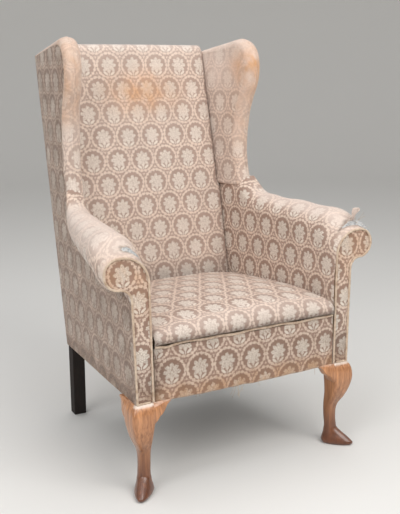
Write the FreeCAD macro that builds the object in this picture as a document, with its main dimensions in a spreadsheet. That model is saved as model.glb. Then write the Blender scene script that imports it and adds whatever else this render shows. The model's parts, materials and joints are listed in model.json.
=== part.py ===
import FreeCAD, Part
import math
import os
import re
import Sketcher
from FreeCAD import Placement, Rotation, Vector

# Wingback armchair, upholstered, on two cabriole front legs and two raked square rear legs.
# Millimetres. +Z is up, +X is the viewer's right from the front, and the front faces -Y.
# Most pieces are drawn from the rail level: the underside of the upholstery, at the front face.

SIZES = [
    # whole chair
    ("half_depth", 363), ("toe_reach", 25), ("rail_level", 241), ("seat_half_width", 318),
    ("plan_angle", 3.43), ("side_lean", 0.81), ("back_rake", 10.5), ("frame_length", 543),
    # cloth and timber
    ("cover_thick", 2), ("sew_gap", 0.3), ("board_thick", 28), ("rail_height", 70), ("rail_lift", 5),
    ("post_width", 48), ("tenon_thick", 10), ("tenon_length", 22), ("tenon_shoulder", 10),
    # rear posts
    ("rear_post_width", 36), ("rear_post_depth", 40), ("rear_post_tip", 24), ("post_kink", 110),
    ("rear_foot_size", 37), ("rear_foot_back", 92), ("rear_foot_in", 20), ("post_relief", 1.5),
    # arms
    ("arm_thick", 50), ("wing_depth", 103), ("scroll_height", 366), ("scroll_inner_radius", 70),
    ("scroll_flat", 9), ("scroll_board_thick", 22), ("scroll_radius", 41), ("scroll_neck", 26), ("lining_lift", 1),
    ("arm_rail_drop", 24), ("arm_rail_thick", 20), ("stuffing_rail_level", 100),
    ("stuffing_rail_height", 40), ("stuffing_rail_thick", 20), ("piping_radius", 2.5), ("piping_proud", 3),
    # wings
    ("wing_extra", 22), ("wing_inner_round", 24), ("wing_outer_round", 19), ("wing_post_depth", 38),
    ("wing_pad_nose", 20), ("wing_ease", 9), ("wing_seam_round", 0.3), ("wing_rail_height", 40),
    ("wing_top_cover", 8), ("wing_low_rail", 385),
    # back
    ("back_height", 849), ("back_thick", 87), ("back_base", 95), ("back_crown", 10),
    ("top_rail_height", 60), ("top_rail_cover", 27), ("low_rail_level", 130), ("low_rail_height", 50),
    # seat
    ("lip_height", 137), ("lip_cord_radius", 3), ("seat_play", 0.6), ("seat_sink", 45),
    ("seat_base", 125), ("seat_side_height", 178), ("seat_crown_height", 200), ("seat_nose", 13),
    ("canvas_thick", 1.5), ("spring_radius", 40), ("spring_waist", 26),
    ("spring_wire", 4), ("spring_turns", 5), ("spring_pitch_x", 150), ("spring_pitch_y", 130),
    ("spring_first_y", 125), ("web_width", 50), ("web_thick", 1.5), ("web_play", 0.3), ("dust_thick", 0.8),
    # front legs
    ("leg_proud", 2), ("leg_ear_length", 42), ("leg_ear_thick", 24), ("foot_direction", 56),
    ("block_leg", 60), ("block_height", 50), ("screw_radius", 2.2), ("screw_head", 4.4),
    ("screw_length", 40), ("tack_radius", 5), ("tack_thick", 1.2), ("tack_inset", 10),
]

doc = FreeCAD.newDocument("WingbackArmchair")
sheet = doc.addObject("Spreadsheet::Sheet", "Sizes")
for row, (alias, number) in enumerate(SIZES, start=1):
    sheet.set("A%d" % row, alias)
    sheet.set("B%d" % row, str(number))
    sheet.setAlias("B%d" % row, alias)
doc.recompute()

parts = {}


def formula(text):
    """A formula in the sheet's own words, as FreeCAD's expressions want it."""
    return re.sub(r"\b([a-z]+(?:_[a-z]+)+)\b", r"Sizes.\1", str(text))


def value(text):
    """The number that a formula gives now."""
    result = sheet.evalExpression(formula(text))
    return float(getattr(result, "Value", result))


SKIN = "(cover_thick + sew_gap)"
ARM_LENGTH = "(frame_length - wing_depth)"
FRONT = "(toe_reach - half_depth)"
PLAN_SLOPE = "tan(plan_angle*1deg)"
RAKE_SLOPE = "tan(back_rake*1deg)"
SIDE_RAKE = ("((%s*cos(side_lean*1deg) - sin(side_lean*1deg)*sin(plan_angle*1deg))"
             "/cos(plan_angle*1deg))" % RAKE_SLOPE)
POST_ROOT = "((frame_length - %s - post_relief)/cos(plan_angle*1deg))" % SKIN
POST_INNER = "(%s + rear_post_width)" % SKIN
REAR_RAIL = "(%s*cos(plan_angle*1deg) - rear_post_depth*cos(plan_angle*1deg) - %s*sin(plan_angle*1deg))" % (
    POST_ROOT, POST_INNER)

chair = Placement(Vector(0, value(FRONT), value("rail_level")), Rotation())
lean = Rotation(Vector(0, 1, 0), value("side_lean"))
plan = Rotation(Vector(0, 0, 1), value("plan_angle"))
corner = Vector(value("seat_half_width"), 0, 0)
side = chair.multiply(Placement(corner, plan.multiply(lean)))
facing = chair.multiply(Placement(corner, lean))
rake = Rotation(Vector(1, 0, 0), -value("back_rake"))
back = chair.multiply(Placement(Vector(0, value("frame_length"), 0), rake))


def block(name, low, high, frame):
    """A box between two corners whose coordinates are formulas, in one of the chair's frames."""
    box = doc.addObject("Part::Box", name)
    for length, start, end in zip(("Length", "Width", "Height"), low, high):
        box.setExpression(length, formula("(%s) - (%s)" % (end, start)))
    box.Placement = frame.multiply(Placement(Vector(*[value(c) for c in low]), Rotation()))
    return box


def board(name, role, corners, thick, frame, start="0"):
    """A body padded from a polygon whose corners are formulas, on one of its origin planes."""
    body = doc.addObject("PartDesign::Body", name)
    sketch = body.newObject("Sketcher::SketchObject", name + "_outline")
    plane = [item for item in body.Origin.OriginFeatures if item.Role == role][0]
    sketch.AttachmentSupport = [(plane, "")]
    sketch.MapMode = "FlatFace"
    places = [(value(a), value(b)) for a, b in corners]
    for i, place in enumerate(places):
        after = places[(i + 1) % len(places)]
        sketch.addGeometry(Part.LineSegment(Vector(*place, 0), Vector(*after, 0)))
    for i in range(len(places)):
        sketch.addConstraint(Sketcher.Constraint("Coincident", i, 2, (i + 1) % len(places), 1))
    for i, place in enumerate(places):
        for kind, number, text in zip(("DistanceX", "DistanceY"), place, corners[i]):
            index = sketch.addConstraint(Sketcher.Constraint(kind, -1, 1, i, 1, number))
            sketch.setExpression("Constraints[%d]" % index, formula(text))
    pad = body.newObject("PartDesign::Pad", name + "_pad")
    pad.Profile = sketch
    pad.setExpression("Length", formula(thick))
    normal = plane_normal(role)
    body.Placement = frame.multiply(Placement(normal * value(start), Rotation()))
    return body


def plane_normal(role):
    """Which way a pad grows from an origin plane."""
    normals = {"XY_Plane": Vector(0, 0, 1), "XZ_Plane": Vector(0, -1, 0), "YZ_Plane": Vector(1, 0, 0)}
    return normals[role]


def solid(name, shape, frame=None):
    """A piece whose form is lofted or extruded in code from the sheet's sizes."""
    piece = doc.addObject("Part::Feature", name)
    piece.Shape = shape
    if frame is not None:
        piece.Placement = frame.multiply(piece.Placement)
    return piece


def fuse(name, *pieces):
    result = doc.addObject("Part::MultiFuse", name)
    result.Shapes = list(pieces)
    return result


def cut(name, base, *tools):
    """The base without its tools."""
    result = doc.addObject("Part::Cut", name)
    result.Base = base
    result.Tool = tools[0] if len(tools) == 1 else fuse(name + "_tools", *tools)
    return result


def mirrored(name, piece):
    """The same piece on the other side of the chair."""
    result = doc.addObject("Part::Mirroring", name)
    result.Source = piece
    result.Normal = Vector(1, 0, 0)
    return result


def keep(node, piece):
    """Mark a piece as one of the chair's own sub-parts."""
    piece.Label = node
    parts[node] = piece


def keep_pair(node, piece):
    keep(node + "_right", piece)
    keep(node + "_left", mirrored(node + "_mirror", piece))


def wire_of(edges):
    return Part.Wire([edge.toShape() if hasattr(edge, "toShape") else edge for edge in edges])


def line(a, b):
    return Part.LineSegment(Vector(*a), Vector(*b)).toShape()


def arc(a, b, c):
    return Part.Arc(Vector(*a), Vector(*b), Vector(*c)).toShape()


def bend(a, b, c, count):
    """An arc through three points as short straight edges."""
    points = arc(a, b, c).discretize(Number=count + 1)
    return [Part.LineSegment(p, q).toShape() for p, q in zip(points, points[1:])]


def polygon(points):
    return Part.makePolygon([Vector(*p) for p in points] + [Vector(*points[0])])


def prism(points, direction):
    return Part.Face(polygon(points)).extrude(Vector(*direction))


def ruled(wires):
    """A solid skinned in flat facets over outlines with the same number of straight edges."""
    rings = [[vertex.Point for vertex in wire.OrderedVertexes] for wire in wires]
    count = len(rings[0])
    faces = []
    for a, b in zip(rings, rings[1:]):
        for i in range(count):
            k = (i + 1) % count
            p, q, r, u = a[i], b[i], b[k], a[k]
            normal = (r - p).cross(u - q)
            if normal.Length > 0 and abs((q - p).dot(normal)) < 1e-7 * normal.Length:
                faces.append(Part.Face(Part.makePolygon([p, q, r, u, p])))
            else:
                faces.append(Part.Face(Part.makePolygon([p, q, r, p])))
                faces.append(Part.Face(Part.makePolygon([p, r, u, p])))
    faces += [Part.Face(Part.makePolygon(ring + ring[:1])) for ring in (rings[0], rings[-1])]
    shell = Part.makeShell(faces)
    shell.sewShape()
    body = Part.makeSolid(shell)
    if body.Volume < 0:
        body.reverse()
    return body


# Front legs: a rounded square that swells at the knee, thins to a round ankle and ends in a
# pointed pad foot. Each station is a level below the rail, the inset of the centre from the
# leg's outer corner, half the width and the corner radius.
LEG_STATIONS = [
    (0, 26, 26, 4), (-12, 22, 29, 5), (-36, 19, 31, 7), (-68, 20, 28, 9), (-100, 25, 22.5, 11),
    (-126, 32, 17, 12), (-166, 33.5, 15.5, 13.5), (-190, 32, 16, 15), (-206, 32, 16.5, 16),
]
# Each foot station is a level above the floor, the heel's radius and a share of the toe's reach.
FOOT_STATIONS = [
    (52, 14, 0.2), (43, 17, 0.32), (31, 19, 0.49), (17, 23, 0.82), (8, 24.5, 1.0), (3, 22, 0.95), (0, 19, 0.86),
]


def between_stations(stations, steps):
    """Smooth stations: cubic curves through the given rows, with more rows in each gap."""
    rows = []
    last = len(stations) - 1
    for i in range(last):
        before, a, b, after = (stations[max(k, 0)] if k <= last else stations[last] for k in range(i - 1, i + 3))
        for step in range(steps):
            t = step / steps
            rows.append([0.5 * (2 * q + (r - p) * t + (2 * p - 5 * q + 4 * r - u) * t ** 2
                                + (3 * q - p - 3 * r + u) * t ** 3)
                         for p, q, r, u in zip(before, a, b, after)])
    return rows + [list(stations[last])]


def rounded_square(x, y, z, half, radius):
    flat = half - radius
    swing = half - radius * (1 - math.sqrt(0.5))
    edges = []
    for turn in range(4):
        c, s = round(math.cos(turn * math.pi / 2)), round(math.sin(turn * math.pi / 2))

        def at(u, v):
            return (x + u * c - v * s, y + u * s + v * c, z)

        edges.append(line(at(half, -flat), at(half, flat)))
        edges += bend(at(half, flat), at(swing, swing), at(flat, half), 3)
    return wire_of(edges)


def foot_outline(x, y, z, heel, toe, direction):
    c, s = math.cos(math.radians(direction)), math.sin(math.radians(direction))

    def at(u, v):
        return (x + u * c - v * s, y + u * s + v * c, z)

    bow = heel * math.sqrt(0.5)
    return wire_of(
        bend(at(0, -heel), at(toe * 0.58, -heel * 0.74), at(toe, 0), 4)
        + bend(at(toe, 0), at(toe * 0.58, heel * 0.74), at(0, heel), 4)
        + bend(at(0, heel), at(-bow, bow), at(-heel, 0), 3)
        + bend(at(-heel, 0), at(-bow, -bow), at(0, -heel), 3))


def make_front_legs():
    """Cabriole legs, each in one piece with the square post that the rails meet."""
    edge_x = value("seat_half_width + leg_proud")
    edge_y = -value("leg_proud")
    rings = [rounded_square(edge_x - a, edge_y + a, z, half, r)
             for z, a, half, r in between_stations(LEG_STATIONS, 2)]
    shaft = ruled(rings)
    ankle = LEG_STATIONS[-1][1]
    floor = -value("rail_level")
    heading = -value("foot_direction")
    reach = value("toe_reach + %f" % (edge_y + ankle)) / math.sin(-math.radians(heading))
    outlines = [foot_outline(edge_x - ankle, edge_y + ankle, floor + z, heel, reach * share, heading)
                for z, heel, share in FOOT_STATIONS]
    foot = ruled(outlines)
    carved = solid("leg_carving", shaft.fuse(foot), chair)
    inner = "(seat_half_width - %s - post_width)" % SKIN
    outer = "(seat_half_width - %s - (%s + post_width)*%s)" % (SKIN, SKIN, PLAN_SLOPE)
    post = block("leg_post", (inner, SKIN, "0"), (outer, SKIN + " + post_width", "rail_lift + rail_height"),
                 chair)
    return fuse("leg_blank", carved, post), carved


def make_leg_ears(carving):
    """The two shaped blocks beside the knee, under the front rail and under the side rail."""
    reach, thick = value("leg_ear_length"), value("leg_ear_thick")
    x0 = value("seat_half_width + leg_proud") - 60
    y0 = -value("leg_proud")
    swell = 9
    root = wire_of([line((x0, y0, 0), (x0, y0 - swell, -30)), line((x0, y0 - swell, -30), (x0, y0 - 6, -60)),
                    line((x0, y0 - 6, -60), (x0, y0 + thick, -60)),
                    line((x0, y0 + thick, -60), (x0, y0 + thick, 0)),
                    line((x0, y0 + thick, 0), (x0, y0, 0))])
    x1 = x0 + 8 - reach
    tip = wire_of([line((x1, y0, 0), (x1, y0, -30)), line((x1, y0, -30), (x1, y0 + 2, -60)),
                   line((x1, y0 + 2, -60), (x1, y0 + thick - 4, -60)),
                   line((x1, y0 + thick - 4, -60), (x1, y0 + thick - 4, 0)),
                   line((x1, y0 + thick - 4, 0), (x1, y0, 0))])
    wide = Part.makeLoft([root, tip], True, True)
    outer = x0 + 15
    root_near = prism([(x0, y0 - swell - 5, 0), (outer, y0 - swell - 5, 0), (outer, y0 + thick, 0),
                       (x0, y0 + thick, 0)], (0, 0, -60))
    shape = wide.fuse(root_near)
    # the ear's lower edge, seen from the front: a short end, a hollow, a step and a second hollow
    top = [line((x1, 0, 0), (outer, 0, 0)), line((outer, 0, 0), (outer, 0, -56))]
    top += bend((outer, 0, -56), (x0 + 4, 0, -46), (x0 - 1, 0, -36), 3)
    top += [line((x0 - 1, 0, -36), (x0 - 6, 0, -34))]
    top += bend((x0 - 6, 0, -34), (x0 - 17, 0, -25), (x1 + 4, 0, -7), 4)
    top += [line((x1 + 4, 0, -7), (x1, 0, -5)), line((x1, 0, -5), (x1, 0, 0))]
    outline = Part.Face(wire_of(top))
    outline.translate(Vector(0, y0 - 40, 0))
    slab = outline.extrude(Vector(0, 100, 0))
    ear = shape.common(slab)
    diagonal = Vector(value("seat_half_width + leg_proud"), y0, 0)
    turned = ear.mirror(diagonal, Vector(1, 1, 0))
    both = Part.makeCompound([ear, turned])
    return cut("leg_ears", solid("ear_pair", both, chair), carving)


def make_seat_rails(leg_blank):
    """Four rails tenoned into the front leg posts and the rear posts."""
    low, high = "rail_lift", "rail_lift + rail_height"
    t_low, t_high = "rail_lift + tenon_shoulder", "rail_lift + rail_height - tenon_shoulder"
    inner = "(seat_half_width - %s - post_width)" % SKIN
    post_back = "(%s + post_width)" % SKIN
    rail_mid = "(%s - board_thick/2)" % post_back
    front = block("front_rail_board", ("-" + inner, post_back + " - board_thick", low),
                  (inner, post_back, high), chair)
    front_tenon = block("front_rail_tenon",
                        ("-%s - tenon_length" % inner, rail_mid + " - tenon_thick/2", t_low),
                        (inner + " + tenon_length", rail_mid + " + tenon_thick/2", t_high), chair)
    outer_x, inner_x = "-" + SKIN, "-%s - board_thick" % SKIN
    end_slope = "(%s + (%s)*sin(plan_angle*1deg))/cos(plan_angle*1deg)"
    rail_end = POST_ROOT + " - rear_post_depth"
    corners = [(outer_x, end_slope % (post_back + " + 0.1", SKIN)), (outer_x, rail_end),
               (inner_x, rail_end), (inner_x, end_slope % (post_back + " + 0.1", SKIN + " + board_thick"))]
    side_rail = board("side_rail_board", "XY_Plane", corners, "rail_height", side, "rail_lift")
    mid_x = "(-%s - board_thick/2)" % SKIN
    front_end = end_slope % (post_back, SKIN + " + board_thick/2")
    side_tenon = block("side_rail_tenon",
                       (mid_x + " - tenon_thick/2", front_end + " - tenon_length", t_low),
                       (mid_x + " + tenon_thick/2", rail_end + " + tenon_length", t_high), side)
    return front, front_tenon, side_rail, side_tenon


def make_rear_post():
    """Leg and back upright sawn from one plank; the leg is raked and turned in towards the floor."""
    corners = [(POST_ROOT + " - rear_post_depth", "0"), (POST_ROOT, "0"),
               ("%s + %s*back_height" % (POST_ROOT, SIDE_RAKE), "back_height"),
               ("%s + %s*back_height - rear_post_tip" % (POST_ROOT, SIDE_RAKE), "back_height"),
               ("%s + %s*post_kink - rear_post_tip" % (POST_ROOT, SIDE_RAKE), "post_kink"),
               (POST_ROOT + " - rear_post_depth", "rail_lift + rail_height")]
    upright = board("rear_upright", "YZ_Plane", corners, "rear_post_width", side, "-" + POST_INNER)
    y1 = value(POST_ROOT)
    y0 = y1 - value("rear_post_depth")
    x1 = -value(SKIN)
    x0 = -value(POST_INNER)
    half = value("rear_foot_size") / 2
    fx = (x0 + x1) / 2 - value("rear_foot_in")
    fy = (y0 + y1) / 2 + value("rear_foot_back") - value("rear_foot_in") / 2
    drop = -value("rail_level") - 12
    head = polygon([(x0, y0, 0), (x1, y0, 0), (x1, y1, 0), (x0, y1, 0)])
    foot = polygon([(fx - half, fy - half, drop), (fx + half, fy - half, drop),
                    (fx + half, fy + half, drop), (fx - half, fy + half, drop)])
    leg = solid("rear_leg", ruled([head, foot]), side)
    floor = block("floor_trim", ("-400", "-400", "-rail_level - 60"), ("400", "1200", "-rail_level"), chair)
    sky = solid("wing_top_line", above_wing(value("wing_top_cover")), side)
    return cut("rear_post_blank", fuse("rear_post_whole", upright, leg), floor, sky)


def above_wing(inset):
    """All that lies above the wing's top edge, less an inset, in the side frame."""
    near, far, sky = 300, 900, 1300
    return prism([(-200, near, wing_top(near, inset)), (-200, far, wing_top(far, inset)),
                  (-200, far, sky), (-200, near, sky)], (400, 0, 0))


def roll_stations():
    """Sections of the rolled arm from the facing to the wing: the place along the side, the inner
    radius, the height of the roll, the middle of the roll from the side panel and its radius."""
    height = value("scroll_height")
    length = value(ARM_LENGTH)
    radius = value("scroll_inner_radius")
    roll = value("scroll_radius")
    middle = radius - value("arm_thick")
    board = value(SKIN + " + scroll_board_thick + 2")
    flat = value("scroll_flat")
    return [
        (0, radius, height, middle + flat, roll),
        (board, radius, height + 10, middle + flat - 2, roll + 5),
        (0.15 * length, radius, height + 37, middle + 3, roll + 10),
        (0.30 * length, radius - 4, height + 44, middle - 2, roll + 9),
        (0.52 * length, radius - 10, height + 49, middle - 8, roll + 3),
        (0.75 * length, radius - 18, height + 53, middle - 16, roll - 5),
        (0.91 * length, radius - 22, height + 66, middle - 18, roll - 21),
        (1.00 * length, radius - 22, height + 100, middle - 18, roll - 37),
    ]


def roll_end(station):
    """The height at which the roll's underside meets the outside panel."""
    y, radius, top, middle, roll = station
    return top - 2 * roll - middle - value(SKIN)


def roll_section(station, inset, close, base, y):
    """Up the inside, over the roll, round under it and back to the panel; then shut on the frame."""
    place, radius, top, middle, roll = station
    inner = inset - value("arm_thick")
    radius, top, roll = radius - inset, top - inset, roll - inset
    neck = middle + value(SKIN) + inset
    rise = inner + radius
    under = top - 2 * roll
    k = math.sqrt(0.5)
    shut = -value(SKIN) - inset
    edges = [line((inner, y, base), (inner, y, top - radius))]
    edges += bend((inner, y, top - radius), (rise - radius * k, y, top - radius + radius * k), (rise, y, top), 5)
    edges += [line((rise, y, top), (middle, y, top))]
    edges += bend((middle, y, top), (middle + roll * k, y, top - roll + roll * k), (middle + roll, y, top - roll),
                  5)
    edges += bend((middle + roll, y, top - roll), (middle + roll * k, y, top - roll - roll * k),
                  (middle, y, under), 5)
    edges += bend((middle, y, under), (middle - neck * k, y, under - neck + neck * k), (shut, y, under - neck),
                  3)
    corners = [(shut, y, under - neck), (shut, y, under - neck - 2), (close, y, under - neck - 2),
               (close, y, base), (inner, y, base)]
    edges += [line(a, b) for a, b in zip(corners, corners[1:])]
    return wire_of(edges)


def roll_solid(inset, close, base, before, after):
    """The arm's roll and inner lining as one loft, from before the facing to the wing."""
    stations = roll_stations()
    wires = [roll_section(stations[0], inset, close, base, -before)]
    wires += [roll_section(station, inset, close, base, station[0]) for station in stations]
    if after:
        wires.append(roll_section(stations[-1], inset, close, base, stations[-1][0] + after))
    return ruled(wires)


def facing_room():
    """Everything in front of the plane where the arm's covers meet the facing's cord."""
    room = Part.makeBox(1200, 200, 900, Vector(-600, -200 + value("piping_radius*2") - value("piping_proud")
                                               + value("sew_gap"), -100))
    room.Placement = side.inverse().multiply(chair)
    return room


def lining_base():
    return value("rail_lift + rail_height + lining_lift")


def make_arms():
    """Arm rail, stuffing and cover of one arm."""
    skin, gap, thick = value(SKIN), value("sew_gap"), value("board_thick")
    frame_face = -skin - thick - gap
    base = lining_base()
    stations = roll_stations()
    board_back = value(SKIN + " + scroll_board_thick") + value("arm_thick") * math.tan(
        math.radians(value("plan_angle")))
    # the arm rail: a flat board as wide as the roll allows, drawn in to the side frame at the wing
    reach = [(st[0], st[3] + st[4] * 0.3) for st in stations[2:5]]
    end = WING_EDGE[0][0] + value("wing_pad_nose")
    plan_corners = [(-skin - thick, reach[0][0]), (-skin - thick / 2, board_back), (reach[0][1], board_back + 3)]
    plan_corners += [(x, y) for y, x in reach]
    narrow = -2 * skin
    plan_corners += [(narrow, 0.63 * value(ARM_LENGTH)), (narrow, end), (-skin - thick, end)]
    level = value("scroll_height - arm_rail_drop")
    rail = prism([(x, y, level) for x, y in plan_corners], (0, 0, value("arm_rail_thick")))
    low_rail = prism([(-skin - thick, board_back, 0), (-skin - thick + value("stuffing_rail_thick"), board_back, 0),
                      (-skin - thick + value("stuffing_rail_thick"), end, 0), (-skin - thick, end, 0)],
                     (0, 0, value("stuffing_rail_height")))
    low_rail.translate(Vector(0, 0, value("stuffing_rail_level")))
    front = facing_room()
    pad = roll_solid(skin, frame_face, base, 12, 0).cut(front)
    outer = roll_solid(0, frame_face, base, 12, 0).cut(front)
    cover = outer.cut(roll_solid(value("cover_thick"), frame_face + 3, base - 4, 20, 8))
    return rail, low_rail, pad, cover


def facing_outline(inset, base, neck=None):
    """The scroll-shaped front of the arm: straight inner edge, round top, roll and hollow neck."""
    thick = value("arm_thick")
    inner = inset - thick
    radius = value("scroll_inner_radius") - inset
    top = value("scroll_height") - inset
    roll = value("scroll_radius") - inset
    rise = inner + radius
    middle = value("scroll_inner_radius - arm_thick + scroll_flat")
    neck = value("scroll_neck") + inset if neck is None else neck
    under = top - 2 * roll
    k = math.sqrt(0.5)
    return [
        line((inner, 0, base), (inner, 0, top - radius)),
        arc((inner, 0, top - radius), (rise - radius * k, 0, top - radius + radius * k), (rise, 0, top)),
        line((rise, 0, top), (middle, 0, top)),
        arc((middle, 0, top), (middle + roll * k, 0, top - roll + roll * k), (middle + roll, 0, top - roll)),
        arc((middle + roll, 0, top - roll), (middle + roll * k, 0, top - roll - roll * k), (middle, 0, under)),
        arc((middle, 0, under), (middle - neck * k, 0, under - neck + neck * k),
            (middle - neck, 0, under - neck)),
        line((middle - neck, 0, under - neck), (-inset, 0, base)),
    ]


def facing_slab(inset, base, start, thick, neck=None):
    """The facing's outline as a plate."""
    edges = facing_outline(inset, base, neck)
    edges.append(line((-inset, 0, base), (inset - value("arm_thick"), 0, base)))
    face = Part.Face(wire_of(edges))
    face.translate(Vector(0, start, 0))
    return face.extrude(Vector(0, thick, 0))


def make_facing():
    """Scroll board, its cover and the cord round it."""
    skin = value(SKIN)
    thick = value("scroll_board_thick")
    base = value("rail_lift + rail_height")
    relief = thick * math.tan(math.radians(value("plan_angle"))) + value("sew_gap")
    neck = value("scroll_inner_radius - arm_thick + scroll_flat") + skin + 3 * relief
    scroll_board = solid("scroll_board", facing_slab(skin + relief, base, skin, thick, neck), facing)
    cord = value("piping_radius")
    cover = facing_slab(2 * cord + value("sew_gap"), 0, 0, value("cover_thick"))
    middle = cord - value("piping_proud")
    path = wire_of(facing_outline(cord, 0))
    path.translate(Vector(0, middle, 0))
    ring = [Vector(cord - value("arm_thick") + cord * math.cos(turn * math.pi / 3),
                   middle + cord * math.sin(turn * math.pi / 3), 0) for turn in range(6)]
    piping = path.makePipeShell([Part.makePolygon(ring + ring[:1])], True, False)
    return scroll_board, solid("facing_cover_plate", cover, facing), solid("facing_piping_cord", piping, facing)


# The wing's front and top edge in the side frame: how far in front of the back's foot, height above
# the rail, and the inward direction in which a layer under the cover is set back.
WING_ROWS = [
    (101, 452, 1.0, 0.0), (87, 500, 0.96, -0.28), (81, 550, 1.0, 0.0),
    (91, 640, 0.99, 0.13), (113, 705, 0.95, 0.31),
    (138, 775, 1.0, 0.0), (133, 825, 0.97, -0.25),
    (111, 857, 0.7, -0.7), (68, 871, 0.0, -1.0),
]
WING_EDGE = [(value("frame_length") - ahead, *row) for ahead, *row in WING_ROWS]
WING_TOP_SLOPE = -0.18


def wing_edge(inset, x):
    """The wing's hollow front edge and round shoulder, set back by the inset."""
    at = [(x, y + inset * a, z + inset * b) for y, z, a, b in WING_EDGE]
    edges = []
    for i in (0, 2, 4, 6):
        edges += bend(at[i], at[i + 1], at[i + 2], 4)
    return edges, at[0], at[8]


def wing_top(y, inset):
    """Height of the wing's sloping top edge."""
    return WING_EDGE[-1][1] - inset + WING_TOP_SLOPE * (y - WING_EDGE[-1][0])


def wing_crown(y, inset, seam):
    """Height of a layer's top edge, set back by its full inset in front and by the seam's share behind."""
    front, rear = WING_EDGE[-1][0], back_plane(value("back_height"), 0)
    low, high = wing_top(rear, inset * seam), wing_top(front, inset)
    return high + (low - high) * (y - front) / (rear - front)


def post_front(z, gap):
    """Where the raked front face of the rear post stands, less a gap."""
    return value(POST_ROOT + " - rear_post_tip") + z * value(SIDE_RAKE) - gap


def back_plane(z, gap):
    """Where the outside back stands, less a gap, in the side frame."""
    return value("(frame_length - %s)/cos(plan_angle*1deg)" % SKIN) + z * value(SIDE_RAKE) - gap


def wing_inner(y, z):
    """The wing's inner face, a plane that thickens the wing towards the top of the back."""
    front, rear = WING_EDGE[5][0], post_front(value("back_height"), 0)
    ease = value("wing_ease") * (1 - z / value("back_height"))
    return ease - value("arm_thick") - value("wing_extra") * (y - front) / (rear - front)


def wing_outline(inset, low, behind, plane, seam):
    """The wing seen from the side, on a plane: lower edge, front edge, shoulder, sloping top, back.

    Towards the arm and the back the rounding dies away by the seam's share."""
    edge = [(y + inset * a, z + inset * b) for y, z, a, b in WING_EDGE]
    top = value("back_height")
    for step in range(4):
        top = wing_crown(behind(top), inset, seam)
    share = (low - lining_base()) / (WING_EDGE[0][1] - lining_base())
    start = (WING_EDGE[0][0] + inset * (seam + (1 - seam) * share), low)
    points = [(plane(y, z), y, z) for y, z in edge]
    tail = [(plane(y, z), y, z) for y, z in [edge[8], (behind(top), top), (behind(low), low), start]]
    edges = [line(tail[-1], points[0])]
    for i in (0, 2, 4, 6):
        edges += bend(points[i], points[i + 1], points[i + 2], 4)
    return wire_of(edges + [line(a, b) for a, b in zip(tail, tail[1:])])


def wing_slab(inset, low, gap, start, thick):
    """The wing's side outline, up to the rear post, as a plate of even thickness."""
    face = Part.Face(wing_outline(inset, low, lambda z: post_front(z, gap), lambda y, z: start, 1))
    return face.extrude(Vector(thick, 0, 0))


def wing_body(inset, low, gap):
    """The wing's outer form as layers from the outside to the inside, each set back by its rounding."""
    outer_round = value("wing_outer_round") - inset
    inner_round = value("wing_inner_round") - inset
    seam = value("wing_seam_round")
    steps = 3
    layers = []
    for i in range(steps + 1):
        turn = math.pi / 2 * i / steps
        depth = -inset - outer_round * (1 - math.cos(turn))
        layers.append(wing_outline(inset + outer_round * (1 - math.sin(turn)), low,
                                   lambda z: back_plane(z, gap), lambda y, z, depth=depth: depth, seam))
    for i in range(steps, -1, -1):
        turn = math.pi / 2 * i / steps
        depth = inset + inner_round * (1 - math.cos(turn))
        layers.append(wing_outline(inset + inner_round * (1 - math.sin(turn)), low,
                                   lambda z: back_plane(z, gap),
                                   lambda y, z, depth=depth: wing_inner(y, z) + depth, seam))
    return ruled(layers)


def wing_room(grow):
    """Everything outside the wing's inner face, grown inwards by a clearance."""
    low, high, front, rear = -40, value("back_height") + 80, -60, 800
    corners = [(front, low), (front, high), (rear, high), (rear, low)]
    far = 160
    return ruled([polygon([(far, y, z) for y, z in corners]),
                  polygon([(wing_inner(y, z) - grow, y, z) for y, z in corners])])


def panel_face(grow, x):
    """The outside panel: under the roll at the front, behind the rolled edge of the wing, to the back."""
    edge = value("wing_outer_round + 3*sew_gap") - grow
    chain, first, last = wing_edge(edge, x)
    stations = roll_stations()
    high = value("back_height")
    for step in range(4):
        high = wing_crown(back_plane(high, -grow), edge, value("wing_seam_round"))
    start = -12
    under = [(x, y, roll_end(st) - value("sew_gap") + grow)
             for y, st in [(start, stations[0])] + [(st[0], st) for st in stations]]
    rear = (x, back_plane(high, -grow), high)
    foot = (x, back_plane(-grow, -grow), -grow)
    corner_point = [(x, first[1] - grow, first[2] + grow)] if grow else []
    points = [last, rear, foot, (x, start, -grow)] + under + corner_point + [first]
    edges = [line(a, b) for a, b in zip(points, points[1:])]
    return Part.Face(wire_of(edges + chain))


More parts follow.
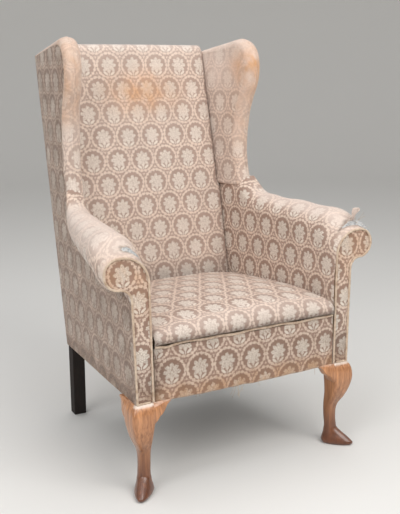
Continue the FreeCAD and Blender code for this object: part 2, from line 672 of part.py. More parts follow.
def make_wings():
    """Wing post, wing top rail, lower rail, stuffing, inside cover and the outside panel."""
    skin, gap, thick = value(SKIN), value("sew_gap"), value("board_thick")
    nose = value("wing_pad_nose")
    depth = value("wing_post_depth")
    base = lining_base()
    floor = value("rail_lift + rail_height")
    cover_inset = value("cover_thick")
    rail_top = value("wing_top_cover")
    rail_height = value("wing_rail_height")
    frame_x = -skin - thick

    def timber(inset):
        return wing_slab(inset, floor, 0, frame_x, thick)

    behind = timber(nose)
    behind.translate(Vector(0, depth, 0))
    wing_post = timber(nose).cut(behind).cut(above_wing(rail_top + rail_height))
    top_rail = timber(nose).common(above_wing(rail_top + rail_height)).cut(above_wing(rail_top))
    low = value("wing_low_rail")
    low_height = value("stuffing_rail_height")
    post_back = WING_EDGE[0][0] + nose + depth
    low_rail = prism([(frame_x, post_back, low), (frame_x, post_front(low, 0), low),
                      (frame_x, post_front(low + low_height, 0), low + low_height),
                      (frame_x, post_back, low + low_height)], (value("stuffing_rail_thick"), 0, 0))
    panel_tool = panel_face(gap, -cover_inset - gap).extrude(Vector(40, 0, 0))
    # the room of the side frame, and of the arm's end under the wing's rolled edge
    arm_end = roll_end(roll_stations()[-1]) - 12
    wide, deep = 80, value("wing_depth") + 60
    void = wing_slab(nose - gap, base - 20, -60, frame_x - gap, wide).cut(above_wing(rail_top - gap))
    beside = Part.makeBox(wide, deep, arm_end - base + 20,
                          Vector(frame_x - gap, WING_EDGE[0][0] - nose * 2, base - 20))
    web_room = value("2*web_thick + 4*sew_gap + rear_post_width*%s" % PLAN_SLOPE)
    # the room of the rear post and the webbing in front of it, under the wing's top
    under, far = rail_top - gap, 900
    top = wing_top(post_front(value("back_height"), web_room), under)
    thick_post = value(POST_ROOT + " - rear_post_depth") - web_room
    kink = value("post_kink")
    post_room = prism([(-200, thick_post, 0), (-200, thick_post, floor),
                       (-200, post_front(kink, web_room), kink),
                       (-200, post_front(top, web_room), wing_top(post_front(top, web_room), under)),
                       (-200, far, wing_top(far, under)), (-200, far, 0)], (300, 0, 0))
    rooms = [void, beside, post_room, panel_tool]
    pad = wing_body(skin, base, 2 * gap)
    cover = wing_body(0, base, gap).cut(wing_body(cover_inset, base - 8, -gap))
    for room in rooms:
        pad, cover = pad.cut(room), cover.cut(room)
    panel = panel_face(0, -cover_inset).extrude(Vector(cover_inset, 0, 0)).cut(facing_room())
    return {
        "wing_post": wing_post, "wing_top_rail": top_rail, "wing_lower_rail": low_rail,
        "wing_pad": pad, "inside_wing_cover": cover, "outside_side_cover": panel,
    }


def back_section(z, half, rear, front, crown):
    """A slice across the back: flat behind, bowed in front."""
    edges = [line((half, rear, z), (-half, rear, z)), line((-half, rear, z), (-half, front, z))]
    edges += bend((-half, front, z), (0, front - crown, z), (half, front, z), 8)
    return wire_of(edges + [line((half, front, z), (half, rear, z))])


def back_loft(inset, rear, low, high, half):
    """The back's stuffed form between the wings: flat at the seat, crowned above, round at the top."""
    face = -value("back_thick") + inset
    crown = value("back_crown")
    flat = 0.01
    seat = value("back_base") + 110
    return ruled([
        back_section(low, half, rear, face, flat), back_section(seat, half, rear, face, flat),
        back_section(0.5 * high, half, rear, face, crown), back_section(high - 60, half, rear, face, crown),
        back_section(high - 22, half, rear, face + 5, crown * 0.8),
        back_section(high - 6, half, rear, face + 16, crown * 0.6), back_section(high, half, rear, face + 30, 4),
    ])


def make_back():
    """Top and lower rails between the posts, stuffing and inside cover."""
    skin, gap = value(SKIN), value("sew_gap")
    reach = "(seat_half_width - post_width)"
    rake_cos = "cos(back_rake*1deg)"
    rear_face = "-%s" % SKIN
    front_face = "-%s - board_thick" % SKIN
    middle = "-%s - board_thick/2" % SKIN
    top = "((back_height - top_rail_cover)/%s)" % rake_cos
    tenon_reach = value("seat_half_width - frame_length*%s - rear_post_width/2 - tenon_shoulder" % PLAN_SLOPE)
    rails = []
    for name, low, high in (("top_back_rail", top + " - top_rail_height", top),
                            ("lower_back_rail", "low_rail_level", "low_rail_level + low_rail_height")):
        body = block(name + "_board", ("-" + reach, front_face, low), (reach, rear_face, high), back)
        tenon = block(name + "_tenon",
                      (str(-tenon_reach), middle + " - tenon_thick/2", low + " + tenon_shoulder"),
                      (str(tenon_reach), middle + " + tenon_thick/2", high + " - 2*tenon_shoulder"), back)
        rails.append((name, body, tenon))
    wide = value(reach) + 30
    right = wing_room(gap)
    right.Placement = side
    room = [right, right.mirror(Vector(0, 0, 0), Vector(1, 0, 0))]

    def beside_wings(shape):
        shape.Placement = back
        for tool in room:
            shape = shape.cut(tool)
        return shape

    cover_in = value("cover_thick")
    base = value("back_base")
    high = value("back_height") / math.cos(math.radians(value("back_rake")))
    outer = back_loft(0, -skin - gap, base, high, wide)
    cover = beside_wings(outer.cut(back_loft(cover_in, 40, base - 10, high - cover_in, wide + 5)))
    pad_rear = -skin - value("board_thick") - value("2*web_thick + 4*sew_gap")
    frame_room = Part.makeBox(3 * wide, 200, value(top) + 100 + gap, Vector(-1.5 * wide, pad_rear, -100))
    pad = beside_wings(back_loft(skin, -skin - 2 * gap, base + 1, high - skin, wide).cut(frame_room))
    return rails, pad, cover


def band(crossings, start, end, first_up, along, across, up):
    """One woven band: over and under its crossings, sloping between, in a frame of three directions."""
    thick, width = value("web_thick"), value("web_width")
    high = thick + value("web_play")
    half = width / 2 + 3
    path = [(start, high)]
    over = first_up
    for place in crossings:
        level = high if over else 0
        path += [(place - half, level), (place + half, level)]
        over = not over
    path += [(end, high)]
    outline = path + [(u, w + thick) for u, w in reversed(path)]
    points = [along * u + up * w - across * (width / 2) for u, w in outline]
    return Part.Face(Part.makePolygon(points + points[:1])).extrude(across * width)


def weave(columns, rows, column_ends, row_half, across, along, up):
    """Bands both ways, each over and under the other set."""
    bands = []
    for i, x in enumerate(columns):
        strip = band(rows, column_ends[0], column_ends[1], i % 2 == 0, along, across, up)
        strip.translate(across * x)
        bands.append(strip)
    for j, y in enumerate(rows):
        strip = band(columns, -row_half(y), row_half(y), j % 2 == 1, across, along, up)
        strip.translate(along * y)
        bands.append(strip)
    return Part.makeCompound(bands)


def make_webbing():
    """Ten bands under the seat, five each way, tacked to the undersides of the rails."""
    columns = [i * value("spring_pitch_x") / 2 for i in (-2, -1, 0, 1, 2)]
    rows = [value("spring_first_y") + i * value("spring_pitch_y") / 2 for i in range(5)]
    front = value(SKIN + " + post_width - board_thick/2")
    rear = value(REAR_RAIL + " + board_thick/2")

    def half(y):
        return value("seat_half_width - %s - board_thick/2" % SKIN) - y * value(PLAN_SLOPE)

    shape = weave(columns, rows, (front, rear), half, Vector(1, 0, 0), Vector(0, 1, 0), Vector(0, 0, 1))
    shape.translate(Vector(0, 0, value("rail_lift - 2*web_thick - web_play - sew_gap")))
    return shape


def make_back_webbing():
    """Eight bands across the back frame, three upright and five level, in front of the rails."""
    rake_cos = math.cos(math.radians(value("back_rake")))
    top = value("back_height - top_rail_cover") / rake_cos - value("top_rail_height") / 2
    base = value("low_rail_level + low_rail_height/2")
    span = top - base
    rows = [base + span * share for share in (0.16, 0.30, 0.50, 0.67, 0.84)]

    def half(level):
        y = value("frame_length") + level * value(RAKE_SLOPE)
        return value("seat_half_width - %s + rear_post_width/2" % POST_INNER) - y * value(PLAN_SLOPE)

    return weave([-120, 0, 120], rows, (base, top), half, Vector(1, 0, 0), Vector(0, 0, 1), Vector(0, -1, 0))


def coil_spring(radius, waist, wire, low, high, turns, steps):
    """An hourglass spring of four-sided wire: the radius narrows to the waist at half height."""
    count = int(turns * steps)
    rings = []
    for i in range(count + 1):
        share = i / count
        angle = 2 * math.pi * turns * share
        r = waist + (radius - waist) * (2 * share - 1) ** 2
        z = low + wire / 2 + (high - low - wire) * share
        out = Vector(math.cos(angle), math.sin(angle), 0)
        centre = out * r + Vector(0, 0, z)
        h = wire / 2
        rings.append([centre + out * h, centre + Vector(0, 0, h), centre - out * h, centre - Vector(0, 0, h)])
    return ruled([Part.makePolygon(ring + ring[:1]) for ring in rings])


def seat_section(y, half, low, edge, crown):
    """A slice across the seat: flat below, upright sides, bowed on top."""
    edges = [line((-half, y, low), (half, y, low)), line((half, y, low), (half, y, edge))]
    edges += bend((half, y, edge), (0, y, crown), (-half, y, edge), 8)
    return wire_of(edges + [line((-half, y, edge), (-half, y, low))])


def seat_loft(inset, drop, stretch):
    """The tight seat: a round nose over the lip, a crown in the middle, sloping down to the back."""
    cord = value("lip_cord_radius")
    lip = value("lip_height + sew_gap") + cord
    base = value("seat_base") - drop
    side_z, crown = value("seat_side_height") - inset, value("seat_crown_height") - inset
    nose = value("seat_nose")
    slope = value(PLAN_SLOPE)
    wide = value("seat_half_width - arm_thick/cos(plan_angle*1deg) - seat_play") - inset
    rows = [
        (-nose + inset, lip + 12 + inset, side_z - 20 + inset, crown - 34 + inset),
        (-nose + 3 + inset, lip + 4 - drop, side_z - 6, crown - 20),
        (cord + 0.6 + inset * 0.5, lip - drop, side_z - 1, crown - 8), (2 * cord + 1 + inset, base, side_z, crown - 5),
        (16, base, side_z + 1, crown - 1), (50, base, side_z + 2, crown), (200, base, side_z + 5, crown - 3),
        (340, base, side_z + 1, crown - 11), (520 + stretch, base, side_z - 12, crown - 22),
    ]
    return ruled([seat_section(y, wide - max(y, 0) * slope, low, edge, top) for y, low, edge, top in rows])


def make_seat():
    """Webbing, springs, canvas, stuffing, cover and lip cord."""
    skin, gap = value(SKIN), value("sew_gap")
    travel = value("seat_sink") * value(RAKE_SLOPE)
    face = -value("back_thick") - (travel + value("seat_play")) * math.cos(math.radians(value("back_rake")))
    room = Part.makeBox(1000, 600, 1200, Vector(-500, face, -300))
    room.Placement = chair.inverse().multiply(back)
    pad = seat_loft(skin, 0, 0)
    pad_room = room.copy()
    pad_room.translate(Vector(0, -skin, 0))
    pad = pad.cut(pad_room)
    outer = seat_loft(0, 0, 0).cut(room)
    cover = outer.cut(seat_loft(value("cover_thick"), 30, 60))
    low = value("seat_base - canvas_thick - sew_gap")
    slope = value(PLAN_SLOPE)
    y0, y1 = skin + value("post_width") + 4, value("frame_length - back_thick") - 10

    def half(y):
        return value("seat_half_width - arm_thick - seat_play") - y * slope - 3

    canvas = prism([(-half(y0), y0, low), (half(y0), y0, low), (half(y1), y1, low), (-half(y1), y1, low)],
                   (0, 0, value("canvas_thick")))
    springs = []
    for i in (-1, 0, 1):
        for j in (0, 1, 2):
            coil = coil_spring(value("spring_radius"), value("spring_waist"), value("spring_wire"),
                               value("rail_lift"), low - gap, value("spring_turns"), 7)
            coil.translate(Vector(i * value("spring_pitch_x"),
                                  value("spring_first_y") + j * value("spring_pitch_y"), 0))
            springs.append(coil)
    return pad, cover, canvas, Part.makeCompound(springs)


def make_border():
    """The panel under the lip: a firm pad on the front rail, its cover, and the cord along the lip."""
    half = value("seat_half_width - arm_thick - sew_gap") - 0.2
    skin, cover = value(SKIN), value("cover_thick")
    post_inner = value("seat_half_width - %s - post_width" % SKIN) - 0.3
    rail_face = skin + value("post_width - board_thick") - value("sew_gap")
    top = value("seat_base") - 0.3
    pad = Part.makeBox(2 * post_inner, rail_face - skin, top - 2, Vector(-post_inner, skin, 2))
    edge = value("lip_height - lip_cord_radius") - 0.3
    plate = Part.makeBox(2 * half, cover, edge, Vector(-half, 0, 0))
    radius = value("lip_cord_radius")
    cord = Part.makeCylinder(radius, 2 * half, Vector(-half, 0, value("lip_height")), Vector(1, 0, 0))
    return pad, plate, cord


def hexagon(centre, radius, way):
    """A six-sided outline square to a direction."""
    turn = Rotation(Vector(0, 0, 1), way)
    points = [centre + turn.multVec(Vector(radius * math.cos(k * math.pi / 3), radius * math.sin(k * math.pi / 3), 0))
              for k in range(6)]
    return Part.makePolygon(points + points[:1])


def make_corner(front):
    """A glued triangular block in a corner of the seat frame, its two screws and their sunk holes."""
    size, height = value("block_leg"), value("block_height")
    wall = value(SKIN + " + post_width") if front else value(REAR_RAIL)
    step = 1 if front else -1

    def rail_x(y):
        return value("seat_half_width - (%s + board_thick)/cos(plan_angle*1deg)" % SKIN) - y * value(PLAN_SLOPE)

    level = value("rail_lift + (rail_height - block_height)/2")
    block_shape = prism([(rail_x(wall), wall, level), (rail_x(wall) - size, wall, level),
                         (rail_x(wall + step * size), wall + step * size, level)], (0, 0, height))
    deep = value("screw_length") / 3
    x = rail_x(wall)
    shank, head, length = value("screw_radius"), value("screw_head"), value("screw_length")
    screws, sunk = [], []
    for place, way in (
            (Vector(x - size / 2, wall + step * deep, level + height / 3), Vector(0, -step, 0)),
            (Vector(x - deep, wall + step * size / 2, level + 2 * height / 3), Vector(1, 0, 0))):
        cone = ruled([hexagon(place, head, way), hexagon(place + way * head, shank, way)])
        body = Part.Face(hexagon(place + way * head, shank, way)).extrude(way * (length - head))
        screws.append(cone.fuse(body).removeSplitter())
        sunk.append(Part.Face(hexagon(place, head + 1, way)).extrude(way * -size))
    for tool in screws + sunk:
        block_shape = block_shape.cut(tool)
    return block_shape, screws


def make_tacks():
    """Tack heads under the edge of the dust cover, a row along each rail."""
    radius, thick = value("tack_radius"), value("tack_thick")
    inset = value("tack_inset")
    front = value(SKIN + " + post_width - board_thick") + inset
    rear = value(REAR_RAIL) - inset
    places = [(x, y) for y in (front, rear) for x in (-200, -120, -40, 40, 120, 200)]
    rows = [front + (rear - front) * share for share in (0.2, 0.4, 0.6, 0.8)]
    for y in rows:
        x = value("seat_half_width") - y * value(PLAN_SLOPE) - 2 * inset
        places += [(x, y), (-x, y)]
    down = Vector(0, 0, -1)
    heads = [Part.Face(hexagon(Vector(x, y, 0), radius, down)).extrude(down * thick) for x, y in places]
    return Part.makeCompound(heads)


def both_sides(shape):
    return [shape, shape.mirror(Vector(0, 0, 0), Vector(1, 0, 0))]


def main():
    leg_blank, carving = make_front_legs()
    ears = make_leg_ears(carving)
    front, front_tenon, side_rail, side_tenon = make_seat_rails(leg_blank)
    rear_blank = make_rear_post()
    rear_left = mirrored("rear_post_left", rear_blank)
    rails, back_pad, back_cover = make_back()
    reach = "(seat_half_width - %s)" % POST_INNER
    tenon_reach = "(seat_half_width - frame_length*%s - rear_post_width/2 - tenon_shoulder)" % PLAN_SLOPE
    middle = REAR_RAIL + " + board_thick/2"
    rear_board = block("rear_rail_board", ("-" + reach, REAR_RAIL, "rail_lift"),
                       (reach, REAR_RAIL + " + board_thick", "rail_lift + rail_height"), chair)
    rear_tenon = block("rear_rail_tenon",
                       ("-" + tenon_reach, middle + " - tenon_thick/2", "rail_lift + tenon_shoulder"),
                       (tenon_reach, middle + " + tenon_thick/2",
                        "rail_lift + rail_height - tenon_shoulder"), chair)
    rails.append(("rear_seat_rail", rear_board, rear_tenon))
    posts_room = block("posts_room", ("-" + POST_INNER, "300", "-60"), ("200", "900", "1000"), side)
    ends = [posts_room, mirrored("posts_room_left", posts_room)]
    glued, screws = [], []
    for at_front in (True, False):
        shape, fixings = make_corner(at_front)
        glued += both_sides(shape)
        for fixing in fixings:
            screws += both_sides(fixing)
    screw_piece = solid("corner_screws", Part.makeCompound(screws), chair)
    keep_pair("front_leg", cut("front_leg", leg_blank, front_tenon, side_tenon))
    keep_pair("leg_ears", ears)
    keep_pair("rear_post", cut("rear_post", rear_blank, side_tenon, *[tenon for name, body, tenon in rails]))
    keep("front_seat_rail", cut("front_seat_rail", fuse("front_rail_whole", front, front_tenon), screw_piece))
    keep_pair("side_seat_rail", cut("side_seat_rail", fuse("side_rail_whole", side_rail, side_tenon),
                                    screw_piece))
    for name, body, tenon in rails:
        whole = fuse(name + "_whole", cut(name + "_length", body, *ends), tenon)
        keep(name, cut(name, whole, screw_piece) if name == "rear_seat_rail" else whole)
    keep("corner_blocks", solid("corner_blocks", Part.makeCompound(glued), chair))
    keep("corner_screws", screw_piece)
    board_piece, facing_cover, piping = make_facing()
    keep_pair("arm_post", board_piece)
    keep_pair("facing_cover", facing_cover)
    keep_pair("facing_piping", piping)
    wings = make_wings()
    rail, low_rail, pad, arm_cover = make_arms()
    arm_rail = solid("arm_rail_board", rail, side)
    arm_low = solid("arm_lower_rail_board", low_rail, side)
    keep_pair("arm_rail", arm_rail)
    keep_pair("arm_lower_rail", arm_low)
    keep_pair("arm_pad", cut("arm_pad", solid("arm_pad_whole", pad, side), arm_rail, board_piece, arm_low))
    keep_pair("inside_arm_cover", solid("inside_arm_cover_shell", arm_cover, side))
    for node, shape in wings.items():
        keep_pair(node, solid(node, shape, side))
    web_plane = Placement(Vector(0, -value(SKIN + " + board_thick + sew_gap"), 0), Rotation())
    keep("back_webbing", solid("back_webbing", make_back_webbing(), back.multiply(web_plane)))
    keep("back_pad", solid("back_pad", back_pad))
    keep("inside_back_cover", solid("inside_back_cover", back_cover))
    keep("outside_back_cover", solid("outside_back_cover", outside_back(), back))
    seat_pad, seat_cover, canvas, springs = make_seat()
    border_pad, border_cover, lip_cord = make_border()
    for node, shape in (("seat_webbing", make_webbing()), ("seat_springs", springs), ("spring_canvas", canvas),
                        ("seat_pad", seat_pad), ("seat_cover", seat_cover), ("seat_lip_cord", lip_cord),
                        ("front_border_pad", border_pad), ("front_border_cover", border_cover),
                        ("dust_cover", dust_cover()), ("cover_tacks", make_tacks())):
        keep(node, solid(node, shape, chair))


def outside_back():
    """The outside back cover: as wide as the chair, its top corners dropping to the wings."""
    cover = value("cover_thick")
    cos_rake = math.cos(math.radians(value("back_rake")))
    slope = value(PLAN_SLOPE)
    lean_slope = math.tan(math.radians(value("side_lean")))

    def half(z):
        y = value("frame_length") + z * value(RAKE_SLOPE)
        return value("seat_half_width") - y * slope + z * lean_slope

    shoulder = wing_top(back_plane(value("back_height"), 0), 0)
    top = value("back_height")
    points = [(-half(0), 0), (half(0), 0), (half(shoulder), shoulder), (half(top) - 60, top),
              (60 - half(top), top), (-half(shoulder), shoulder)]
    return prism([(x, -cover, z / cos_rake) for x, z in points], (0, cover, 0))


def dust_cover():
    """The bottom lining, notched round the four legs."""
    skin = value(SKIN)
    slope = value(PLAN_SLOPE)
    inner = value("seat_half_width") - skin - value("post_width") - 5
    front = skin + value("post_width - board_thick") + 2
    behind = skin + value("post_width") + 5
    rear = value(REAR_RAIL)

    def edge(y):
        return value("seat_half_width") - y * slope - 12

    back_inner = edge(rear) - 42
    half_outline = [(inner, front), (inner, behind), (edge(behind), behind), (edge(rear - 6), rear - 6),
                    (back_inner, rear - 6), (back_inner, rear + 22)]
    points = half_outline + [(-x, y) for x, y in reversed(half_outline)]
    return prism([(x, y, 0) for x, y in points], (0, 0, value("dust_thick")))


main()
doc.recompute()
faults = [item.Label for item in doc.Objects if {"Invalid", "Error"} & set(item.State)]
for node, piece in parts.items():
    if piece.Shape.isNull() or not piece.Shape.isValid() or piece.Shape.Volume <= 0:
        faults.append(node)
if faults:
    raise RuntimeError("these objects failed: " + ", ".join(faults))
os.makedirs("parts", exist_ok=True)
for node, piece in parts.items():
    piece.Shape.exportStep("parts/%s.step" % node)
print(len(parts), "sub-parts written")
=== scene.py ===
"""Wingback armchair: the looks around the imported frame.

Lengths are millimetres in the same named frames as the part's source until place() turns them
into the scene's metres. Each upholstered piece is a grid of points from a formula, with a cloth
map (its own surface unrolled, in metres) that the woven pattern follows.
"""

import json
import math

import bpy
import numpy as np
from mathutils import Matrix, Vector


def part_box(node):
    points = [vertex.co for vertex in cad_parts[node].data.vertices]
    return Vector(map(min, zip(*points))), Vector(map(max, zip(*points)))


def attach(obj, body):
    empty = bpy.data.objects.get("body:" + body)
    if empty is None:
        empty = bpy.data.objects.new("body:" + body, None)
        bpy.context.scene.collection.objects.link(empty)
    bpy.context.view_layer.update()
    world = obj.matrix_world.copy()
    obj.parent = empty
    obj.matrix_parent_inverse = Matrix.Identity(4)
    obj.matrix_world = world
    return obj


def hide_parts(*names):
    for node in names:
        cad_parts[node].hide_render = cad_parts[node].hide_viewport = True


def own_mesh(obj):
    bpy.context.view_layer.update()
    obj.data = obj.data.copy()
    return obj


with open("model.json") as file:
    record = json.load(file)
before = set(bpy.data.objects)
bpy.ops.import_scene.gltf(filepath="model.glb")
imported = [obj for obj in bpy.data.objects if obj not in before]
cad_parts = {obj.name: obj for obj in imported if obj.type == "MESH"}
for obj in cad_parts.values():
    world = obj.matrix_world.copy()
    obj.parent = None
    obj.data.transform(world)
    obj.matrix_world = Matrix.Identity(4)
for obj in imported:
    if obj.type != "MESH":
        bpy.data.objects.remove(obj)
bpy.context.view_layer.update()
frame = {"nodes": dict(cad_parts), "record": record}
nodes = frame["nodes"]

# driving sizes, as the part's source has them
HALF_DEPTH = 363
TOE_REACH = 25
RAIL_LEVEL = 241
SEAT_HALF = 318
FRAME_LENGTH = 543
PLAN = math.radians(3.43)
LEAN = math.radians(0.81)
RAKE = math.radians(10.5)
SKIN = 2.3
ARM_THICK = 50
ARM_LENGTH = 440
SCROLL_HEIGHT = 366
SCROLL_INNER = 70
SCROLL_FLAT = 9
SCROLL_RADIUS = 41
SCROLL_NECK = 26
CORD_RADIUS = 2.5
WING_EXTRA = 22
WING_INNER_ROUND = 24
WING_OUTER_ROUND = 19
WING_EASE = 9
WING_TOP_SLOPE = -0.18
BACK_HEIGHT = 849
BACK_THICK = 87
BACK_BASE = 95
BACK_CROWN = 10
LIP_HEIGHT = 137
LEG_PROUD = 2


def turned(axis, angle):
    return np.array(Matrix.Rotation(angle, 3, axis))


# named frames: a rotation and an origin
FRONT = np.array([0.0, TOE_REACH - HALF_DEPTH, RAIL_LEVEL])
CHAIR = (np.eye(3), FRONT)
CORNER = FRONT + [SEAT_HALF, 0, 0]
SIDE = (turned("Z", PLAN) @ turned("Y", LEAN), CORNER)
FACING = (turned("Y", LEAN), CORNER)
BACK = (turned("X", -RAKE), FRONT + [0, FRAME_LENGTH, 0])


def place(points, where, left=False):
    """Points of a named frame in the scene's metres, mirrored for the left side."""
    rotation, origin = where
    world = (np.asarray(points, float) @ rotation.T + origin) * 0.001
    return world * [-1, 1, 1] if left else world


def stacked(*columns):
    """Coordinate arrays, broadcast together, as one array of points."""
    return np.stack(np.broadcast_arrays(*columns), axis=-1).astype(float)


def smooth(value, low, high):
    """0 below low, 1 above high, with an S-shaped rise between."""
    t = np.clip((value - low) / (high - low), 0, 1)
    return t * t * (3 - 2 * t)


def curve_through(at, places, rows):
    """Cubic Hermite curve through rows at the given places, its slopes from the neighbours."""
    places, rows = np.asarray(places, float), np.asarray(rows, float)
    at = np.asarray(at, float)
    slopes = np.gradient(rows, places, axis=0)
    k = np.clip(np.searchsorted(places, at) - 1, 0, len(places) - 2)
    gap = places[k + 1] - places[k]
    t = (at - places[k]) / gap
    if rows.ndim > 1:
        gap, t = gap[..., None], t[..., None]
    return ((2 * t ** 3 - 3 * t ** 2 + 1) * rows[k] + (t ** 3 - 2 * t ** 2 + t) * gap * slopes[k]
            + (3 * t ** 2 - 2 * t ** 3) * rows[k + 1] + (t ** 3 - t ** 2) * gap * slopes[k + 1])


def arc_points(a, b, c, count):
    """Points of the circle arc from a through b to c."""
    a, b, c = (np.asarray(p, float) for p in (a, b, c))
    chord = 2 * np.array([b - a, c - a])
    centre = np.linalg.solve(chord, [b @ b - a @ a, c @ c - a @ a])
    angles = [math.atan2(*(p - centre)[::-1]) for p in (a, b, c)]
    sweep = (angles[2] - angles[0]) % (2 * math.pi)
    if (angles[1] - angles[0]) % (2 * math.pi) > sweep:
        sweep -= 2 * math.pi
    turn = angles[0] + sweep * np.linspace(0, 1, count)
    radius = np.linalg.norm(a - centre)
    return centre + radius * np.stack([np.cos(turn), np.sin(turn)], axis=-1)


def along(points):
    """Distance walked along the last run of points, from its first."""
    steps = np.linalg.norm(np.diff(points, axis=-2), axis=-1)
    return np.concatenate([np.zeros(steps.shape[:-1] + (1,)), np.cumsum(steps, axis=-1)], axis=-1)


def direction(line):
    """Unit steps along a line of points."""
    ahead = np.gradient(line, axis=0)
    return ahead / np.linalg.norm(ahead, axis=1, keepdims=True)


def round_rings(line, guide, radius, turn):
    """Rings of a radius standing square to a line, with a point at each turn from the guide's side."""
    ahead = direction(line)
    beside = np.cross(ahead, guide)
    beside /= np.linalg.norm(beside, axis=1, keepdims=True)
    other = np.cross(ahead, beside)
    turn = turn[None, :, None]
    return line[:, None] + radius * (beside[:, None] * np.cos(turn) + other[:, None] * np.sin(turn))


def evenly(points, count):
    """The same line with its points evenly apart."""
    walked = along(points)
    at = np.linspace(0, walked[-1], count)
    return np.stack([np.interp(at, walked, points[:, i]) for i in range(points.shape[1])], axis=-1)


def ripple(points, size, seed):
    """Gentle unevenness from -1 to 1: a mean of twelve sine waves in seeded directions."""
    rng = np.random.default_rng(seed)
    ways = rng.normal(size=(12, 3))
    ways /= np.linalg.norm(ways, axis=1, keepdims=True)
    pace = 2 * math.pi / size * rng.uniform(0.6, 1.7, 12)
    shift = rng.uniform(0, 2 * math.pi, 12)
    return np.sin(points @ (ways.T * pace) + shift).mean(-1) * 2.2


def spot(points, centre, reach):
    """A soft spot: 1 at its centre in metres, falling off over its reach each way."""
    return np.exp(-(((points - centre) / reach) ** 2).sum(-1))


def surface(name, points, cloth, material, wrap=False, core=None, masks=None):
    """A quad mesh over a grid of points in metres, its faces turned away from the core."""
    rows, cols = points.shape[:2]
    mesh = bpy.data.meshes.new(name)
    i, j = np.meshgrid(np.arange(rows - 1), np.arange(cols if wrap else cols - 1), indexing="ij")
    after = (j + 1) % cols
    quads = np.stack([i * cols + j, i * cols + after, (i + 1) * cols + after, (i + 1) * cols + j], -1)
    corner_cloth = np.stack([cloth[i, j], cloth[i, j + 1], cloth[i + 1, j + 1], cloth[i + 1, j]], 2)
    quads, corner_cloth = quads.reshape(-1, 4), corner_cloth.reshape(-1, 4, 2)
    flat = points.reshape(-1, 3)
    at = flat[quads]
    normal = np.cross(at[:, 2] - at[:, 0], at[:, 3] - at[:, 1])
    middle = flat.mean(0) if core is None else np.asarray(core)
    if (normal * (at.mean(1) - middle)).sum() < 0:
        quads, corner_cloth = quads[:, ::-1], corner_cloth[:, ::-1]
    mesh.from_pydata(flat.tolist(), [], quads.tolist())
    mesh.polygons.foreach_set("use_smooth", np.ones(len(quads), bool))
    layer = mesh.uv_layers.new(name="cloth")
    layer.data.foreach_set("uv", np.ascontiguousarray(corner_cloth, np.float32).ravel())
    for mask, value in (masks or {}).items():
        attribute = mesh.attributes.new(mask, "FLOAT", "POINT")
        attribute.data.foreach_set("value", np.broadcast_to(value, (rows, cols)).astype(np.float32).ravel())
    mesh.materials.append(material)
    mesh.update()
    piece = bpy.data.objects.new(name, mesh)
    bpy.context.scene.collection.objects.link(piece)
    return piece


def closed_rings(points):
    """Rings with their ends shut by one more ring drawn to its middle."""
    first, last = points[:1], points[-1:]
    return np.concatenate([first.mean(1, keepdims=True) + 0 * first, points,
                           last.mean(1, keepdims=True) + 0 * last])


def rings_surface(name, points, material, pace=1.0, masks=None):
    """A closed tube over rings of points; the cloth map runs round and along, in metres."""
    points = closed_rings(points)
    round_way = along(np.concatenate([points, points[:, :1]], axis=1))
    girth = round_way.max(0, keepdims=True) + 0 * round_way
    lengthwise = along(np.swapaxes(points, 0, 1)).mean(0)[:, None] + 0 * girth
    cloth = np.stack([girth * pace, lengthwise * pace], -1)
    piece = surface(name, points, cloth, material, wrap=True, masks=masks)
    merge(piece, 1e-6)
    return piece


def merge(piece, distance):
    """Vertices closer than the distance become one, so poles and seams are shut."""
    import bmesh
    work = bmesh.new()
    work.from_mesh(piece.data)
    bmesh.ops.remove_doubles(work, verts=work.verts, dist=distance)
    bmesh.ops.recalc_face_normals(work, faces=work.faces)
    work.to_mesh(piece.data)
    work.free()


SETTLE_FRAMES = 12
PIN_LEVELS = 4


def settle(piece, held, pressure, cap):
    """The padded piece swells as cloth under pressure: held is 1 where it is sewn down, cap the most
    that a point may move, in metres. The result is put into the mesh and the simulation taken off."""
    scene = bpy.context.scene
    group = piece.vertex_groups.new(name="sewn")
    levels = np.round(np.clip(held, 0, 1).ravel() * PIN_LEVELS).astype(int)
    for level in range(1, PIN_LEVELS + 1):
        picked = np.nonzero(levels == level)[0].tolist()
        if picked:
            group.add(picked, level / PIN_LEVELS, "REPLACE")
    cloth = piece.modifiers.new("settling", "CLOTH")
    cloth.settings.vertex_group_mass = "sewn"
    cloth.settings.quality = 6
    cloth.settings.mass = 0.3
    cloth.settings.tension_stiffness = 18
    cloth.settings.compression_stiffness = 18
    cloth.settings.bending_stiffness = 0.4
    cloth.settings.use_pressure = True
    cloth.settings.uniform_pressure_force = pressure
    cloth.settings.effector_weights.gravity = 0
    cloth.collision_settings.use_collision = False
    cloth.point_cache.frame_start, cloth.point_cache.frame_end = 1, SETTLE_FRAMES
    for step in range(1, SETTLE_FRAMES + 1):
        scene.frame_set(step)
    solved = piece.evaluated_get(bpy.context.evaluated_depsgraph_get()).data
    start = np.empty(len(piece.data.vertices) * 3, np.float32)
    end = np.empty_like(start)
    piece.data.vertices.foreach_get("co", start)
    solved.vertices.foreach_get("co", end)
    move = (end - start).reshape(-1, 3)
    length = np.linalg.norm(move, axis=1, keepdims=True)
    move *= np.minimum(1, cap / np.maximum(length, 1e-9))
    piece.modifiers.remove(cloth)
    piece.vertex_groups.remove(group)
    piece.data.vertices.foreach_set("co", (start.reshape(-1, 3) + move).ravel())
    piece.data.update()
    scene.frame_set(1)
    print("settled", piece.name, "by up to", round(float(length.max()) * 1000, 1), "mm")


# Shader building


def srgb(red, green, blue):
    """A colour read off a screen, 0 to 255, as the linear colour that shaders use."""
    share = np.array([red, green, blue]) / 255
    linear = np.where(share <= 0.04045, share / 12.92, ((share + 0.055) / 1.055) ** 2.4)
    return (*linear.tolist(), 1.0)


